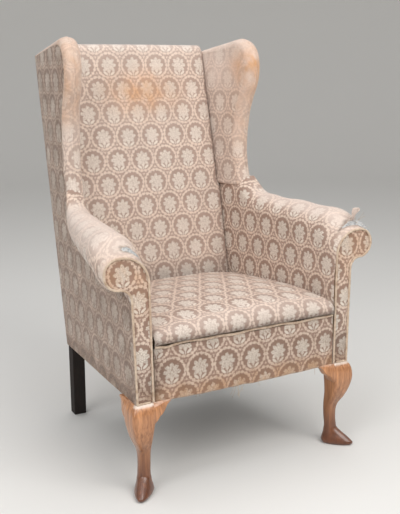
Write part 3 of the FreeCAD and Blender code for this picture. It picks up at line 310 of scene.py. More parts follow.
class Field:
    """A value that varies over a surface: + - * / between fields and numbers add Math nodes."""

    def __init__(self, tree, socket):
        self.tree, self.socket = tree, socket

    def through(self, operation, *others):
        """The field put through a Math node, with the others as its further operands."""
        return calc(self.tree, operation, self, *others)


for sign, math_node in (("add", "ADD"), ("sub", "SUBTRACT"), ("mul", "MULTIPLY"), ("truediv", "DIVIDE")):
    setattr(Field, "__%s__" % sign, lambda a, b, kind=math_node: calc(a.tree, kind, a, b))
    setattr(Field, "__r%s__" % sign, lambda a, b, kind=math_node: calc(a.tree, kind, b, a))


def put(tree, target, value):
    value = getattr(value, "socket", value)
    if isinstance(value, bpy.types.NodeSocket):
        tree.links.new(value, target)
    else:
        target.default_value = value


def add(tree, kind, values=(), **settings):
    node = tree.nodes.new(kind)
    for key, setting in settings.items():
        setattr(node, key, setting)
    for socket, value in values:
        put(tree, node.inputs[socket], value)
    return node


def calc(tree, operation, *values):
    return Field(tree, add(tree, "ShaderNodeMath", enumerate(values), operation=operation).outputs[0])


def rise(value, low, high):
    """0 below low, 1 above high, smooth between; a high below low turns it round."""
    node = add(value.tree, "ShaderNodeMapRange", [(0, value), (1, low), (2, high)],
               interpolation_type="SMOOTHSTEP")
    return Field(value.tree, node.outputs[0])


def choose(share, a, b):
    """a where share is 0 and b where it is 1."""
    return a + share * (b - a)


def tint(tree, share, base, over, mode="MIX"):
    node = add(tree, "ShaderNodeMix", [(0, share), (6, base), (7, over)], data_type="RGBA",
               blend_type=mode)
    return node.outputs[2]


def noise(tree, vector, scale, detail=3.0, rough=0.55):
    node = add(tree, "ShaderNodeTexNoise", [("Vector", vector), ("Scale", scale), ("Detail", detail),
                                            ("Roughness", rough)])
    return Field(tree, node.outputs[0])


def parts_of(tree, vector):
    """The three coordinates of a vector, as fields."""
    return [Field(tree, part) for part in add(tree, "ShaderNodeSeparateXYZ", [(0, vector)]).outputs]


def place_in(tree):
    """Where a point lies in its own mesh."""
    return add(tree, "ShaderNodeTexCoord").outputs["Object"]


def cloth_map(tree):
    return add(tree, "ShaderNodeUVMap", uv_map="cloth").outputs[0]


def attribute(tree, name):
    return add(tree, "ShaderNodeAttribute", attribute_name=name).outputs["Fac"]


def effect(name, inputs, outputs):
    """An empty shader group with named sockets: its tree, its inputs and its output node."""
    tree = bpy.data.node_groups.new(name, "ShaderNodeTree")
    for label, kind, start in inputs:
        socket = tree.interface.new_socket(name=label, in_out="INPUT", socket_type="NodeSocket" + kind)
        if start is not None:
            socket.default_value = start
    for label, kind in outputs:
        tree.interface.new_socket(name=label, in_out="OUTPUT", socket_type="NodeSocket" + kind)
    return tree, tree.nodes.new("NodeGroupInput").outputs, tree.nodes.new("NodeGroupOutput").inputs


def use_effect(tree, group_tree, **values):
    """The group placed in a material, each named input given its own value."""
    group = add(tree, "ShaderNodeGroup", node_tree=group_tree)
    for label, value in values.items():
        put(tree, group.inputs[label], value)
    return group.outputs


# The damask's measures in millimetres
PATTERN_PITCH = 77
PATTERN_ROW = 69
PETAL_ROOT = 14.0
PETAL_REACH = 9.0
VINE_RADIUS = 35.2


def sprig_cell(across, up, shift):
    """Place inside the nearest cell of one of the two staggered sets of flowers, in millimetres."""
    x = ((across / PATTERN_PITCH + shift).through("FRACT") - 0.5) * PATTERN_PITCH
    y = ((up / (2 * PATTERN_ROW) + shift).through("FRACT") - 0.5) * (2 * PATTERN_ROW)
    return x, y, x * x + y * y


def make_damask():
    """Half-drop flower sprigs, each in a dark ring inside a trellis of small leaves.

    A flower's edge is 14 + 9 |cos 4a|^0.8 mm from its middle at angle a, with two leaves and a stem
    below; the trellis is the ring 35 mm from the middle, 1.2 + 2.8 |sin 9a| mm to each side; a bud
    fills each gap between three rings. Small cells part both into leaflets. Bleached cloth shows
    its ribs."""
    tree, given, result = effect(
        "woven_damask",
        [("Cloth", "Vector", None), ("Bleach", "Float", 0.0), ("Stain", "Float", 0.0),
         ("Grime", "Float", 0.0),
         ("Ground", "Color", srgb(160, 132, 118)), ("Ring", "Color", srgb(149, 121, 106)),
         ("Flower", "Color", srgb(224, 214, 202)), ("Vine", "Color", srgb(226, 206, 189)),
         ("Faded_and_Highlight", "Color", srgb(224, 206, 195)), ("Tan", "Color", srgb(226, 178, 132)),
         ("Soil_and_Shade", "Color", srgb(118, 108, 102))],
        [("Color", "Color"), ("Roughness", "Float"), ("Height", "Float")])
    bleach_and_highlight, stain, grime_and_shade = (Field(tree, given[label]) for label in ("Bleach", "Stain", "Grime"))
    cloth = add(tree, "ShaderNodeVectorMath", [(0, given["Cloth"]), (3, 1000.0)],
                operation="SCALE").outputs[0]
    across, up, _ = parts_of(tree, cloth)
    worn = noise(tree, cloth, 0.55, 2.0, 0.6)
    broken = noise(tree, cloth, 0.22, 3.0, 0.6)
    xa, ya, da = sprig_cell(across, up, 0.0)
    xb, yb, db = sprig_cell(across, up, 0.5)
    nearer = db.through("LESS_THAN", da)
    x, y = choose(nearer, xa, xb), choose(nearer, ya, yb)
    angle = x.through("ARCTAN2", y)
    r_worn = da.through("MINIMUM", db).through("SQRT") + ((worn - 0.5) * 3.2 + (broken - 0.5) * 12.0)
    cells = add(tree, "ShaderNodeTexVoronoi", [("Vector", cloth), ("Scale", 0.21)],
                feature="DISTANCE_TO_EDGE")
    leaflets = choose(rise(Field(tree, cells.outputs["Distance"]), 0.02, 0.12), 0.35, 1.0)
    petals = (angle * 4.0).through("COSINE").through("ABSOLUTE").through("POWER", 0.8)
    flower = rise(petals * PETAL_REACH + PETAL_ROOT - r_worn, -1.2, 1.2)
    side = x.through("ABSOLUTE")
    leaf_x, leaf_y = side - 10.5, y + 23.5
    long_way = (leaf_x * 0.8 + leaf_y * 0.6) / 8.5
    short_way = (leaf_y * 0.8 - leaf_x * 0.6) / 3.6
    leaf = rise(long_way * long_way + short_way * short_way, 1.25, 0.7)
    stem = rise(side, 1.6, 0.7) * rise((y + 22.0).through("ABSOLUTE"), 10.0, 8.5)
    sprig = leaf.through("MAXIMUM", stem).through("MAXIMUM", flower * leaflets)
    width = (angle * 9.0).through("SINE").through("ABSOLUTE") * 2.8 + 1.2
    vine = rise(width - (r_worn - VINE_RADIUS).through("ABSOLUTE"), -0.9, 0.9)
    vine = vine.through("MAXIMUM", rise(r_worn, 42.0, 44.0)) * choose(leaflets, 0.45, 1.0)
    ring = rise(r_worn, 34.0, 30.0) * choose(rise(y, -24.0, 8.0), 0.3, 1.0)
    weave = (up * (2 * math.pi / 0.9)).through("SINE") * (across * (2 * math.pi / 0.7)).through("SINE")
    shade = choose(noise(tree, cloth, 0.012, 3.0), 0.86, 1.14)
    rib = (across * 2.3 + worn * 22.0).through("SINE")
    thread = weave * 0.07 + 1.0 + rib * bleach_and_highlight * 0.06
    base = tint(tree, ring, given["Ground"], given["Ring"])
    # The grime mask, with its dark colour, darkens for dirt and for painted shade; the bleach mask, with its
    # pale colour, pales for fading and for a painted highlight.
    for share, colour, mode in ((vine, "Vine", "MIX"), (sprig, "Flower", "MIX"),
                                (bleach_and_highlight * 0.85, "Faded_and_Highlight", "MIX"), (stain, "Tan", "MULTIPLY"),
                                (stain * 0.4, "Tan", "MIX"), (grime_and_shade * 0.8, "Soil_and_Shade", "MULTIPLY")):
        base = tint(tree, share, base, given[colour], mode)
    light = add(tree, "ShaderNodeVectorMath", [(0, base), (3, shade * thread)], operation="SCALE").outputs[0]
    motif = sprig.through("MAXIMUM", vine)
    put(tree, result["Color"], light)
    put(tree, result["Roughness"], choose(motif, 0.47, 0.66))
    put(tree, result["Height"], weave * 0.25 + motif)
    return tree


DAMASK = make_damask()


def finish_surface(name, **sockets):
    """A material whose Principled shader has the given plain socket values: its tree and shader."""
    material = bpy.data.materials.new(name)
    material.use_nodes = True
    tree = material.node_tree
    shader = tree.nodes["Principled BSDF"]
    for label, value in sockets.items():
        shader.inputs[label.replace("_", " ")].default_value = value
    return material, tree, shader


def raise_bumps(tree, shader, height, distance, strength=1.0):
    bump = add(tree, "ShaderNodeBump", [("Height", height), ("Distance", distance), ("Strength", strength)])
    put(tree, shader.inputs["Normal"], bump.outputs[0])


def damask_cloth():
    """Satin-ground damask, worn by the piece's own bleach, stain and grime attributes; the grime attribute
    also carries painted shade and the bleach attribute a painted highlight.
    """
    material, tree, shader = finish_surface("worn_damask", Sheen_Weight=0.25, Sheen_Roughness=0.45,
                                            Specular_IOR_Level=0.42, Sheen_Tint=(1.0, 0.93, 0.88, 1.0))
    made = use_effect(tree, DAMASK, Cloth=cloth_map(tree), Bleach=attribute(tree, "bleach_and_highlight"),
                      Stain=attribute(tree, "stain"), Grime=attribute(tree, "grime_and_shade"))
    put(tree, shader.inputs["Base Color"], made["Color"])
    put(tree, shader.inputs["Roughness"], made["Roughness"])
    raise_bumps(tree, shader, made["Height"], 0.0004, 0.6)
    return material


def make_grain():
    """Wood: long streaks of noise stretched along the grain, pores across them, worn edges, and painted
    shade from its last input.
    """
    tree, given, result = effect(
        "long_grain",
        [("Place", "Vector", None), ("Light", "Color", None), ("Dark", "Color", None),
         ("Worn", "Float", 0.0), ("Bare", "Color", None), ("Streaks", "Float", 60.0),
         ("Gloss", "Float", 0.35), ("Handled", "Float", 0.0)],
        [("Color", "Color"), ("Roughness", "Float"), ("Height", "Float")])
    streaks, worn, gloss = (Field(tree, given[label]) for label in ("Streaks", "Worn", "Gloss"))
    broad = noise(tree, given["Place"], streaks, 4.0, 0.6)
    fine = noise(tree, given["Place"], streaks * 6.0, 3.0, 0.7)
    figure = (broad * 22.0).through("SINE") * 0.1 + fine * 0.8
    timber = tint(tree, rise(figure, -0.05, 0.75), given["Dark"], given["Light"])
    bare = rise(worn + fine * 0.5, 0.55, 0.95)
    # Painted shade: the wood is multiplied towards a dull brown by the last input, which darkens it towards
    # the floor.
    timber = tint(tree, given["Handled"], timber, srgb(140, 112, 96), "MULTIPLY")
    put(tree, result["Color"], tint(tree, bare, timber, given["Bare"]))
    put(tree, result["Roughness"], gloss + fine * 0.2)
    put(tree, result["Height"], fine * 0.6 + bare)
    return tree


GRAIN = make_grain()


def wood(name, light, dark, bare, gloss, streaks=60.0, stretch=(1, 1, 0.06), coat=0.0, floor_shade=0.0):
    """Polished or raw wood; the last argument is how much painted shade darkens it towards the floor."""
    material, tree, shader = finish_surface(name, Coat_Weight=coat, Coat_Roughness=0.14)
    spread = add(tree, "ShaderNodeMapping", [("Vector", place_in(tree)), ("Scale", stretch)])
    height = parts_of(tree, place_in(tree))[2]
    # The last input is painted shade: darker towards the floor, as strong as the last argument.
    made = use_effect(tree, GRAIN, Place=spread.outputs[0], Light=light, Dark=dark, Bare=bare,
                      Worn=attribute(tree, "worn"), Streaks=streaks, Gloss=gloss,
                      Handled=rise(height, 0.21, 0.015) * floor_shade)
    put(tree, shader.inputs["Base Color"], made["Color"])
    put(tree, shader.inputs["Roughness"], made["Roughness"])
    raise_bumps(tree, shader, made["Height"], 0.0003, 0.5)
    return material


def make_plain_weave():
    """Plain weave: two sets of threads as sine waves, a colour between two tones, and slubs."""
    tree, given, result = effect(
        "plain_weave",
        [("Place", "Vector", None), ("Thread", "Float", 900.0), ("Light", "Color", None),
         ("Dark", "Color", None)],
        [("Color", "Color"), ("Height", "Float")])
    x, y, z = parts_of(tree, given["Place"])
    count = Field(tree, given["Thread"])
    warp = (x * count).through("SINE").through("ABSOLUTE")
    weft = ((y + z) * count).through("SINE").through("ABSOLUTE")
    over = warp.through("MAXIMUM", weft)
    share = over * 0.5 + noise(tree, given["Place"], 90.0, 4.0) * 0.6
    put(tree, result["Color"], tint(tree, share, given["Dark"], given["Light"]))
    put(tree, result["Height"], over)
    return tree


PLAIN_WEAVE = make_plain_weave()


def coarse_cloth(name, light, dark, thread):
    material, tree, shader = finish_surface(name, Roughness=0.9, Sheen_Weight=0.15)
    made = use_effect(tree, PLAIN_WEAVE, Place=place_in(tree), Thread=thread, Light=light, Dark=dark)
    put(tree, shader.inputs["Base Color"], made["Color"])
    raise_bumps(tree, shader, made["Height"], 0.0005)
    return material


def twisted_yarn(name, light, dark):
    """Piping cord: fine yarns running round it aslant, read from its own cloth map."""
    material, tree, shader = finish_surface(name, Roughness=0.75, Sheen_Weight=0.2)
    girth, length, _ = parts_of(tree, cloth_map(tree))
    yarn = (girth * 2500.0 + length * 2100.0).through("SINE") * 0.5 + 0.5
    share = yarn * 0.35 + noise(tree, place_in(tree), 70.0, 4.0) * 0.9
    put(tree, shader.inputs["Base Color"], tint(tree, rise(share, 0.25, 0.95), dark, light))
    raise_bumps(tree, shader, yarn, 0.0005)
    return material


def loose_fill(name, light, dark, scale=160.0):
    """Wadding: matted fibre, light with grey hollows."""
    material, tree, shader = finish_surface(name, Roughness=0.95, Sheen_Weight=0.3)
    where = place_in(tree)
    share = noise(tree, where, scale, 5.0, 0.7) * 0.9 + noise(tree, where, scale * 7, 3.0, 0.7) * 0.35
    put(tree, shader.inputs["Base Color"], tint(tree, rise(share, 0.4, 0.85), dark, light))
    raise_bumps(tree, shader, share, 0.002)
    return material


def bare_metal(name, colour, roughness):
    material, tree, shader = finish_surface(name, Metallic=1.0)
    smudge = noise(tree, place_in(tree), 120.0, 4.0)
    dulled = tuple(0.6 * c for c in colour[:3]) + (1.0,)
    put(tree, shader.inputs["Base Color"], tint(tree, smudge, colour, dulled))
    put(tree, shader.inputs["Roughness"], smudge * 0.3 + roughness)
    return material


CLOTH = damask_cloth()
# The walnut legs get painted shade that darkens them towards the floor.
WALNUT = wood("walnut_legs", srgb(216, 154, 106), srgb(132, 82, 50), srgb(226, 208, 194), 0.24,
              streaks=45.0, coat=0.6, floor_shade=0.95)
DARK_STAIN = wood("dark_stained_beech", srgb(36, 24, 17), srgb(14, 9, 7), srgb(96, 74, 60), 0.78)
BEECH = wood("raw_beech", srgb(206, 170, 124), srgb(168, 128, 86), srgb(206, 170, 124), 0.65, streaks=90.0,
             stretch=(0.15, 1, 0.15))
PIPING = twisted_yarn("piping_cord", srgb(236, 218, 196), srgb(172, 134, 104))
JUTE = coarse_cloth("jute", srgb(184, 158, 112), srgb(120, 96, 62), 2400.0)
LINING = coarse_cloth("black_lining", srgb(46, 42, 40), srgb(20, 18, 17), 3600.0)
WADDING = loose_fill("grey_wadding", srgb(222, 222, 220), srgb(134, 136, 140))
STUFFING = loose_fill("hair_and_felt", srgb(176, 160, 136), srgb(104, 88, 70))
THREAD = twisted_yarn("loose_thread", srgb(222, 204, 182), srgb(176, 148, 120))
SPRING_STEEL = bare_metal("coppered_wire", (0.42, 0.27, 0.18, 1.0), 0.3)
STEEL = bare_metal("blued_steel", (0.30, 0.31, 0.34, 1.0), 0.3)
SLOT_FINISH = {
    "walnut_leg": WALNUT, "dark_post": DARK_STAIN, "beech": BEECH, "damask": CLOTH, "stuffing": STUFFING,
    "piping": PIPING, "webbing": JUTE, "lining": LINING, "spring_steel": SPRING_STEEL, "steel": STEEL,
}


def both(make):
    """Runs a maker for the right side and the left side."""
    return [make(False), make(True)]


def side_name(left):
    return "left" if left else "right"


def dress(piece, body, slot, *stood_for):
    """The piece rides on a body and stands for some CAD nodes, which it hides. Its slot is not used."""
    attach(piece, body)
    if stood_for:
        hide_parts(*stood_for)
    return piece


# Wear, in metres of the scene, with painted shade in the grime mask and a painted highlight in the bleach
# mask. Each mask is a sum of soft spots, broken up by a ripple.


def wear(points, bleach_and_highlight=0.0, stain=0.0, grime_and_shade=0.0):
    """The three masks for a piece: its own values plus the stains that cross from piece to piece. Its grime
    also holds painted shade, and its bleach a painted highlight.
    """
    rough = 0.75 + 0.35 * ripple(points, 0.05, 11) + 0.2 * ripple(points, 0.018, 12)
    head = spot(points, [0.0, 0.18, 0.965], [0.105, 0.12, 0.055]) * 1.0
    hands = (spot(points, [-0.33, 0.09, 0.93], [0.03, 0.04, 0.20]) * 0.55
             + spot(points, [0.285, 0.09, 1.035], [0.05, 0.05, 0.05]) * 0.9
             + spot(points, [0.29, 0.13, 0.93], [0.05, 0.06, 0.12]) * 0.35)
    low = smooth(-points[..., 2], -0.31, -0.235) * 0.35
    return {
        "bleach_and_highlight": np.clip(bleach_and_highlight * (0.85 + 0.3 * rough - 0.25), 0, 1),
        "stain": np.clip((stain + head + hands + low) * rough, 0, 1),
        "grime_and_shade": np.clip(grime_and_shade * (rough + 0.2), 0, 1),
    }


# Arms


ARM_ROWS = np.array([
    (0, SCROLL_INNER, SCROLL_HEIGHT, 29, SCROLL_RADIUS),
    (26.3, SCROLL_INNER, SCROLL_HEIGHT + 10, 27, SCROLL_RADIUS + 5),
    (66, SCROLL_INNER, SCROLL_HEIGHT + 37, 23, SCROLL_RADIUS + 10),
    (132, SCROLL_INNER - 4, SCROLL_HEIGHT + 44, 18, SCROLL_RADIUS + 9),
    (229, SCROLL_INNER - 10, SCROLL_HEIGHT + 49, 12, SCROLL_RADIUS + 3),
    (330, SCROLL_INNER - 18, SCROLL_HEIGHT + 53, 4, SCROLL_RADIUS - 5),
    (400, SCROLL_INNER - 22, SCROLL_HEIGHT + 66, 2, SCROLL_RADIUS - 21),
    (440, SCROLL_INNER - 22, SCROLL_HEIGHT + 100, 2, SCROLL_RADIUS - 37),
])


def arm_section(rows, base):
    """Up the inside, a quarter turn over the roll, half a turn round it and a quarter turn back in.

    rows holds the inner radius, the top, the middle and the roll's radius of each section."""
    radius, top, middle, roll = (rows[:, i:i + 1] for i in range(1, 5))
    wall = np.linspace(0, 1, 34)[:-1]
    quarter = np.linspace(0, math.pi / 2, 22)[:-1]
    half_turn = np.linspace(0, math.pi, 40)[:-1]
    hollow = np.linspace(0, math.pi / 2, 12)
    centre_x, centre_z = radius - ARM_THICK, top - radius
    neck = middle + 0.5
    under = top - 2 * roll
    x = np.concatenate([
        -ARM_THICK + 0 * wall * radius, centre_x - radius * np.cos(quarter),
        middle + roll * np.sin(half_turn), middle - neck * np.sin(hollow)], axis=1)
    z = np.concatenate([
        base + (centre_z - base) * wall, centre_z + radius * np.sin(quarter),
        top - roll + roll * np.cos(half_turn), under - neck + neck * np.cos(hollow)], axis=1)
    return x, z


def make_arm(left):
    """The padded arm from its facing to the wing, its front edge drawn in under the cord."""
    name = "arm_" + side_name(left)
    distance = np.concatenate([np.array([0, 0.6, 1.5, 3, 5, 8, 11, 15]), np.linspace(21, 440, 84),
                               [452, 466, 482, 500, 520, 542, 566, 592, 622]])
    rows = curve_through(np.minimum(distance, ARM_LENGTH), ARM_ROWS[:, 0], ARM_ROWS)
    x, z = arm_section(rows, 82)
    x = x - 0.4 * (x + ARM_THICK) * smooth(distance[:, None], 440, 475)
    y = np.minimum(distance[:, None] + 0 * x, np.maximum(back_line(z) - 5, ARM_LENGTH))
    centre_x, centre_z = rows[:, 3:4] - 10, rows[:, 2:3] - rows[:, 4:5]
    draw_in = 5.0 * (1 - np.sqrt(1 - np.clip(1 - distance[:, None] / 13, 0, 1) ** 2))
    above = smooth(z, 235, 300)
    way = np.arctan2(z - centre_z, x - centre_x)
    gather = 0.9 * np.sin(way * 26 + 1.2 * np.sin(3 * way)) * np.exp(-y / 16) * above
    reach = np.hypot(x - centre_x, z - centre_z)
    ease = 1 - (draw_in * above - gather * np.exp(-((y - 9) / 10) ** 2)) / np.maximum(reach, 20)
    x, z = centre_x + (x - centre_x) * ease, centre_z + (z - centre_z) * ease
    fade = np.clip(1 - y / 70, 0, 1)
    y = y + 2.6 - fade * x * math.tan(PLAN)
    points = stacked(x, y, z)
    sway = ripple(points * 0.001 + (5 if left else 0), 0.14, 21) * 1.6 * smooth(y, 20, 90)
    sag = 2.0 * spot(points, [40 if left else 20, 190, 410], [60, 90, 60])
    points[..., 2] += (sway - sag) * above
    points[..., 0] += sway * 0.6 * above
    cloth = np.stack([y * 0.001, along(points) * 0.001 + 0.02], -1)
    world = place(points, SIDE, left)
    crest = smooth(z, 330, 400) * smooth(x, -48, -20)
    worn = crest * (0.95 if left else 0.8) * smooth(-y, -430, -380)
    tip = np.exp(-y / 30) * smooth(z, 300, 350)
    front_edge = np.exp(-np.clip(y, 0, None) / 9) * above
    torn = np.zeros_like(y)
    for tear in ARM_TEARS[left]:
        rim = torn_oval(distance, np.arange(x.shape[1]), tear) - 1
        torn = np.maximum(torn, np.exp(-(rim / 0.13) ** 2))
    bleach_and_highlight = np.clip(worn + 0.5 * tip + 0.12 + 0.5 * front_edge, 0, 1)
    piece = surface(name, world, cloth, CLOTH, core=world[:, 60:90].reshape(-1, 3).mean(0),
                    masks=wear(world, bleach_and_highlight=bleach_and_highlight, stain=0.15 * tip, grime_and_shade=np.clip(0.9 * torn, 0, 1)))
    dress(piece, "frame", "damask", "arm_pad_" + side_name(left), "inside_arm_cover_" + side_name(left))
    for number, tear in enumerate(ARM_TEARS[left]):
        make_tear("%s_tear_%d" % (name, number), world, distance, tear, 7 * number + left)
    return piece


# Each torn oval: its middle's distance back and place round the section, its reach both ways, its swell
ARM_TEARS = {
    True: [(30.0, 47, 9.0, 5.5, 2.2)],
    False: [(24.0, 67, 21.0, 17.0, 7.5)],
}


def torn_oval(distance, column, tear):
    """How far out of a torn oval each place on the arm's grid is: 1 on its uneven edge.

    At angle a from the middle the plain oval's measure is scaled by 1 + 0.12 sin(3a + 1) + 0.08 sin 7a."""
    middle_y, middle_col, reach_y, reach_col, _ = tear
    back, across = distance[:, None] - middle_y, column[None, :] - middle_col
    around = np.arctan2(back, across)
    return np.hypot(back / reach_y, across / reach_col) * (
        1 + 0.12 * np.sin(3 * around + 1) + 0.08 * np.sin(7 * around))


def make_tear(name, world, distance, tear, seed):
    """Wadding that swells through a torn oval of the arm's cloth, with frayed ends round it.

    The arm's own surface is lifted along its normal by the swell inside the oval and sunk outside."""
    middle_y, middle_col, reach_y, reach_col, swell = tear
    fine_y = np.linspace(max(middle_y - 1.25 * reach_y, 0.5), middle_y + 1.25 * reach_y, 40)
    fine_col = np.linspace(middle_col - 1.25 * reach_col, middle_col + 1.25 * reach_col, 46)
    row = np.interp(fine_y, distance, np.arange(len(distance)))
    low_row, low_col = np.floor(row).astype(int), np.floor(fine_col).astype(int)
    a, b = (row - low_row)[:, None, None], (fine_col - low_col)[None, :, None]
    low_row, low_col = low_row[:, None], low_col[None, :]
    patch = ((1 - a) * (1 - b) * world[low_row, low_col] + a * (1 - b) * world[low_row + 1, low_col]
             + (1 - a) * b * world[low_row, low_col + 1] + a * b * world[low_row + 1, low_col + 1])
    normal = np.cross(np.gradient(patch, axis=0), np.gradient(patch, axis=1))
    normal /= np.linalg.norm(normal, axis=-1, keepdims=True)
    if normal[..., 2].mean() < 0:
        normal = -normal
    way = torn_oval(fine_y, fine_col, tear)
    lumps = 1.3 * ripple(patch, 0.009, seed + 1) + 0.5 * ripple(patch, 0.004, seed + 2)
    swollen = (swell + lumps * (1 + swell / 7)) * (1 - smooth(way, 0.45, 1.08))
    lift = 0.001 * (swollen - 2.5 * smooth(way, 0.8, 1.1))
    lumpy = patch + normal * lift[..., None]
    cloth = stacked(fine_y[:, None], fine_col[None, :]) * 0.001
    piece = surface(name, lumpy, cloth, WADDING, core=world[40, 60:90].mean(0))
    dress(piece, "frame", "stuffing")
    rng = np.random.default_rng(seed + 5)
    strands = []
    for _ in range(16):
        turn = rng.uniform(0, 2 * math.pi)
        i = int(np.clip(19.5 + 15.5 * math.sin(turn), 0, 39))
        j = int(np.clip(22.5 + 18 * math.cos(turn), 0, 45))
        start, up = patch[i, j], normal[i, j]
        side = rng.normal(size=3) * 0.5
        t = np.linspace(0, 1, 12)[:, None]
        length = rng.uniform(0.004, 0.011)
        strands.append(start + length * (t * (0.55 * up + side) + t ** 2 * 0.4 * rng.normal(size=3))
                       - up * 0.0006)
    threads(name + "_threads", strands, "frame")


def threads(name, lines, body, radius=0.00032):
    """Loose threads: thin five-sided tubes along short lines, in one piece."""
    rings = []
    for line in lines:
        turn = np.linspace(0, 2 * math.pi, 5, endpoint=False)
        rings.append(round_rings(evenly(np.asarray(line), 12), [0.31, 0.22, 0.92], radius, turn))
    parts = [rings_surface(name + "_%d" % k, ring, THREAD) for k, ring in enumerate(rings)]
    return dress(joined(name, parts), body, "damask")


def joined(name, parts):
    """Several meshes as one piece."""
    with bpy.context.temp_override(active_object=parts[0], object=parts[0], selected_objects=parts,
                                   selected_editable_objects=parts):
        bpy.ops.object.join()
    parts[0].name = name
    return parts[0]


# Wings


WING_ROWS = [(442, 452), (456, 500), (462, 550), (452, 640), (430, 705), (405, 775), (410, 825),
             (432, 857), (475, 871)]
POST_FRONT_TOP = 673.0


def side_rake():
    """How far the back leans away for each millimetre up, in the side frame."""
    return (math.tan(RAKE) * math.cos(LEAN) - math.sin(LEAN) * math.sin(PLAN)) / math.cos(PLAN)


def back_line(z):
    """Where the outside back stands in the side frame."""
    return (FRAME_LENGTH - SKIN) / math.cos(PLAN) + z * side_rake() - 0.3


def wing_inner(y, z):
    """The wing's inner face, which thickens towards the top of the back."""
    ease = WING_EASE * (1 - z / BACK_HEIGHT)
    return ease - ARM_THICK - WING_EXTRA * (y - 405) / (POST_FRONT_TOP - 405)


def wing_line():
    """The wing's edge from the arm up the hollow front, round the shoulder and back along the top."""
    arcs = [arc_points(*WING_ROWS[i:i + 3], 24) for i in (0, 2, 4, 6)]
    start = np.array([[442, 440.0], [441, 446.0]])
    rear_y = back_line(835.0)
    rear = np.array([[rear_y, WING_ROWS[-1][1] + WING_TOP_SLOPE * (rear_y - 475)]])
    line = evenly(np.concatenate([start] + arcs + [rear]), 150)
    soft = line.copy()
    for _ in range(6):
        soft[1:-1] = (soft[:-2] + 2 * soft[1:-1] + soft[2:]) / 4
    return soft


def wing_section(line):
    """Across the wing: round from the outside seam, over its edge, round to the inner face.

    A point is set back along the line's inward normal by r (1 - sin a) as it moves in by r (1 - cos a)."""
    ahead = direction(line)
    inward = np.stack([ahead[:, 1], -ahead[:, 0]], -1)
    walked = along(line)
    share = walked / walked[-1]
    outer_round = WING_OUTER_ROUND * (1 - 0.55 * smooth(share, 0.66, 1.0))[:, None]
    inner_round = WING_INNER_ROUND * (1 - 0.5 * smooth(share, 0.66, 1.0))[:, None]
    turn = np.linspace(0, math.pi / 2, 14)[None, :]
    inner_x = wing_inner(line[:, 0], line[:, 1])[:, None]
    flat = np.linspace(0, 1, 10)[None, 1:-1]
    start_x, stop_x = -outer_round, inner_x + inner_round
    x = np.concatenate([-outer_round * (1 - np.cos(turn)), start_x + (stop_x - start_x) * flat,
                        inner_x + inner_round * (1 - np.sin(turn))], axis=1)
    back_in = np.concatenate([outer_round * (1 - np.sin(turn)), -2.2 * np.sin(math.pi * flat) + 0 * start_x,
                              inner_round * (1 - np.cos(turn))], axis=1)
    yz = line[:, None, :] + inward[:, None, :] * back_in[..., None]
    return np.concatenate([x[..., None], yz], -1), inward


def make_wing(left):
    """The wing: its rolled edge, and its inner face back to the outside back, as one cloth."""
    name = "wing_" + side_name(left)
    line = wing_line()
    edge, inward = wing_section(line)
    last = edge[:, -1]
    share = (along(line) / along(line)[-1])[:, None]
    count = 44
    step = np.linspace(0, 1, count + 1)[None, 1:]
    rear_top = back_line(835.0)
    rear_z = 440 + (835 - 440) * np.clip(share, 0, 1) ** 1.15
    rear_z = np.minimum(rear_z, last[:, 2:3] - 1)
    rear_y = np.minimum(back_line(rear_z), rear_top)
    y = last[:, 1:2] + (rear_y - last[:, 1:2]) * step
    z = last[:, 2:3] + (rear_z - last[:, 2:3]) * step
    face = stacked(wing_inner(y, z), y, z)
    points = np.concatenate([edge, face], axis=1)
    rolled = along(edge[:, ::-1])[:, ::-1]
    outward = -inward[:, None, :] * rolled[..., None]
    cloth = np.concatenate([last[:, None, 1:] + outward, face[..., 1:]], axis=1) * 0.001
    uneven = ripple(points * 0.001 + (3 if left else 0), 0.16, 31)
    points[..., 0] -= 1.5 * uneven * smooth(points[..., 2], 470, 560)
    points[:, :30, 1] += 1.1 * ripple(points[:, :30] * 0.001, 0.09, 32) * smooth(points[:, :30, 2], 470, 520)
    foot = points[:1] + [0, 0, -1.5]
    foot[..., 0] = np.maximum(foot[..., 0], -42)
    points = np.concatenate([foot, points])
    cloth = np.concatenate([cloth[:1], cloth])
    world = place(points, SIDE, left)
    z = points[..., 2]
    front = np.zeros(points.shape[:2])
    front[:, :34] = 1
    faded, faded_top = (0.46, 0.1) if left else (0.6, 0.45)
    bleach_and_highlight = faded + 0.45 * front * smooth(z, 500, 640) + faded_top * smooth(z, 680, 790)
    top = wear(world, bleach_and_highlight=bleach_and_highlight, stain=0.30 * front * smooth(z, 600, 700) if left else 0.1 * front,
               grime_and_shade=0.12 * smooth(z, 840, 866))
    piece = surface(name, world, cloth, CLOTH, core=world[:, 20:].reshape(-1, 3).mean(0) + [
        -0.06 if left else 0.06, 0.05, 0], masks=top)
    dress(piece, "frame", "damask", "wing_pad_" + side_name(left), "inside_wing_cover_" + side_name(left))
    return piece


# Outside panels


def roll_end(rows):
    """Height at which the roll's underside meets the outside panel."""
    return rows[:, 2] - 2 * rows[:, 4] - rows[:, 3] - SKIN


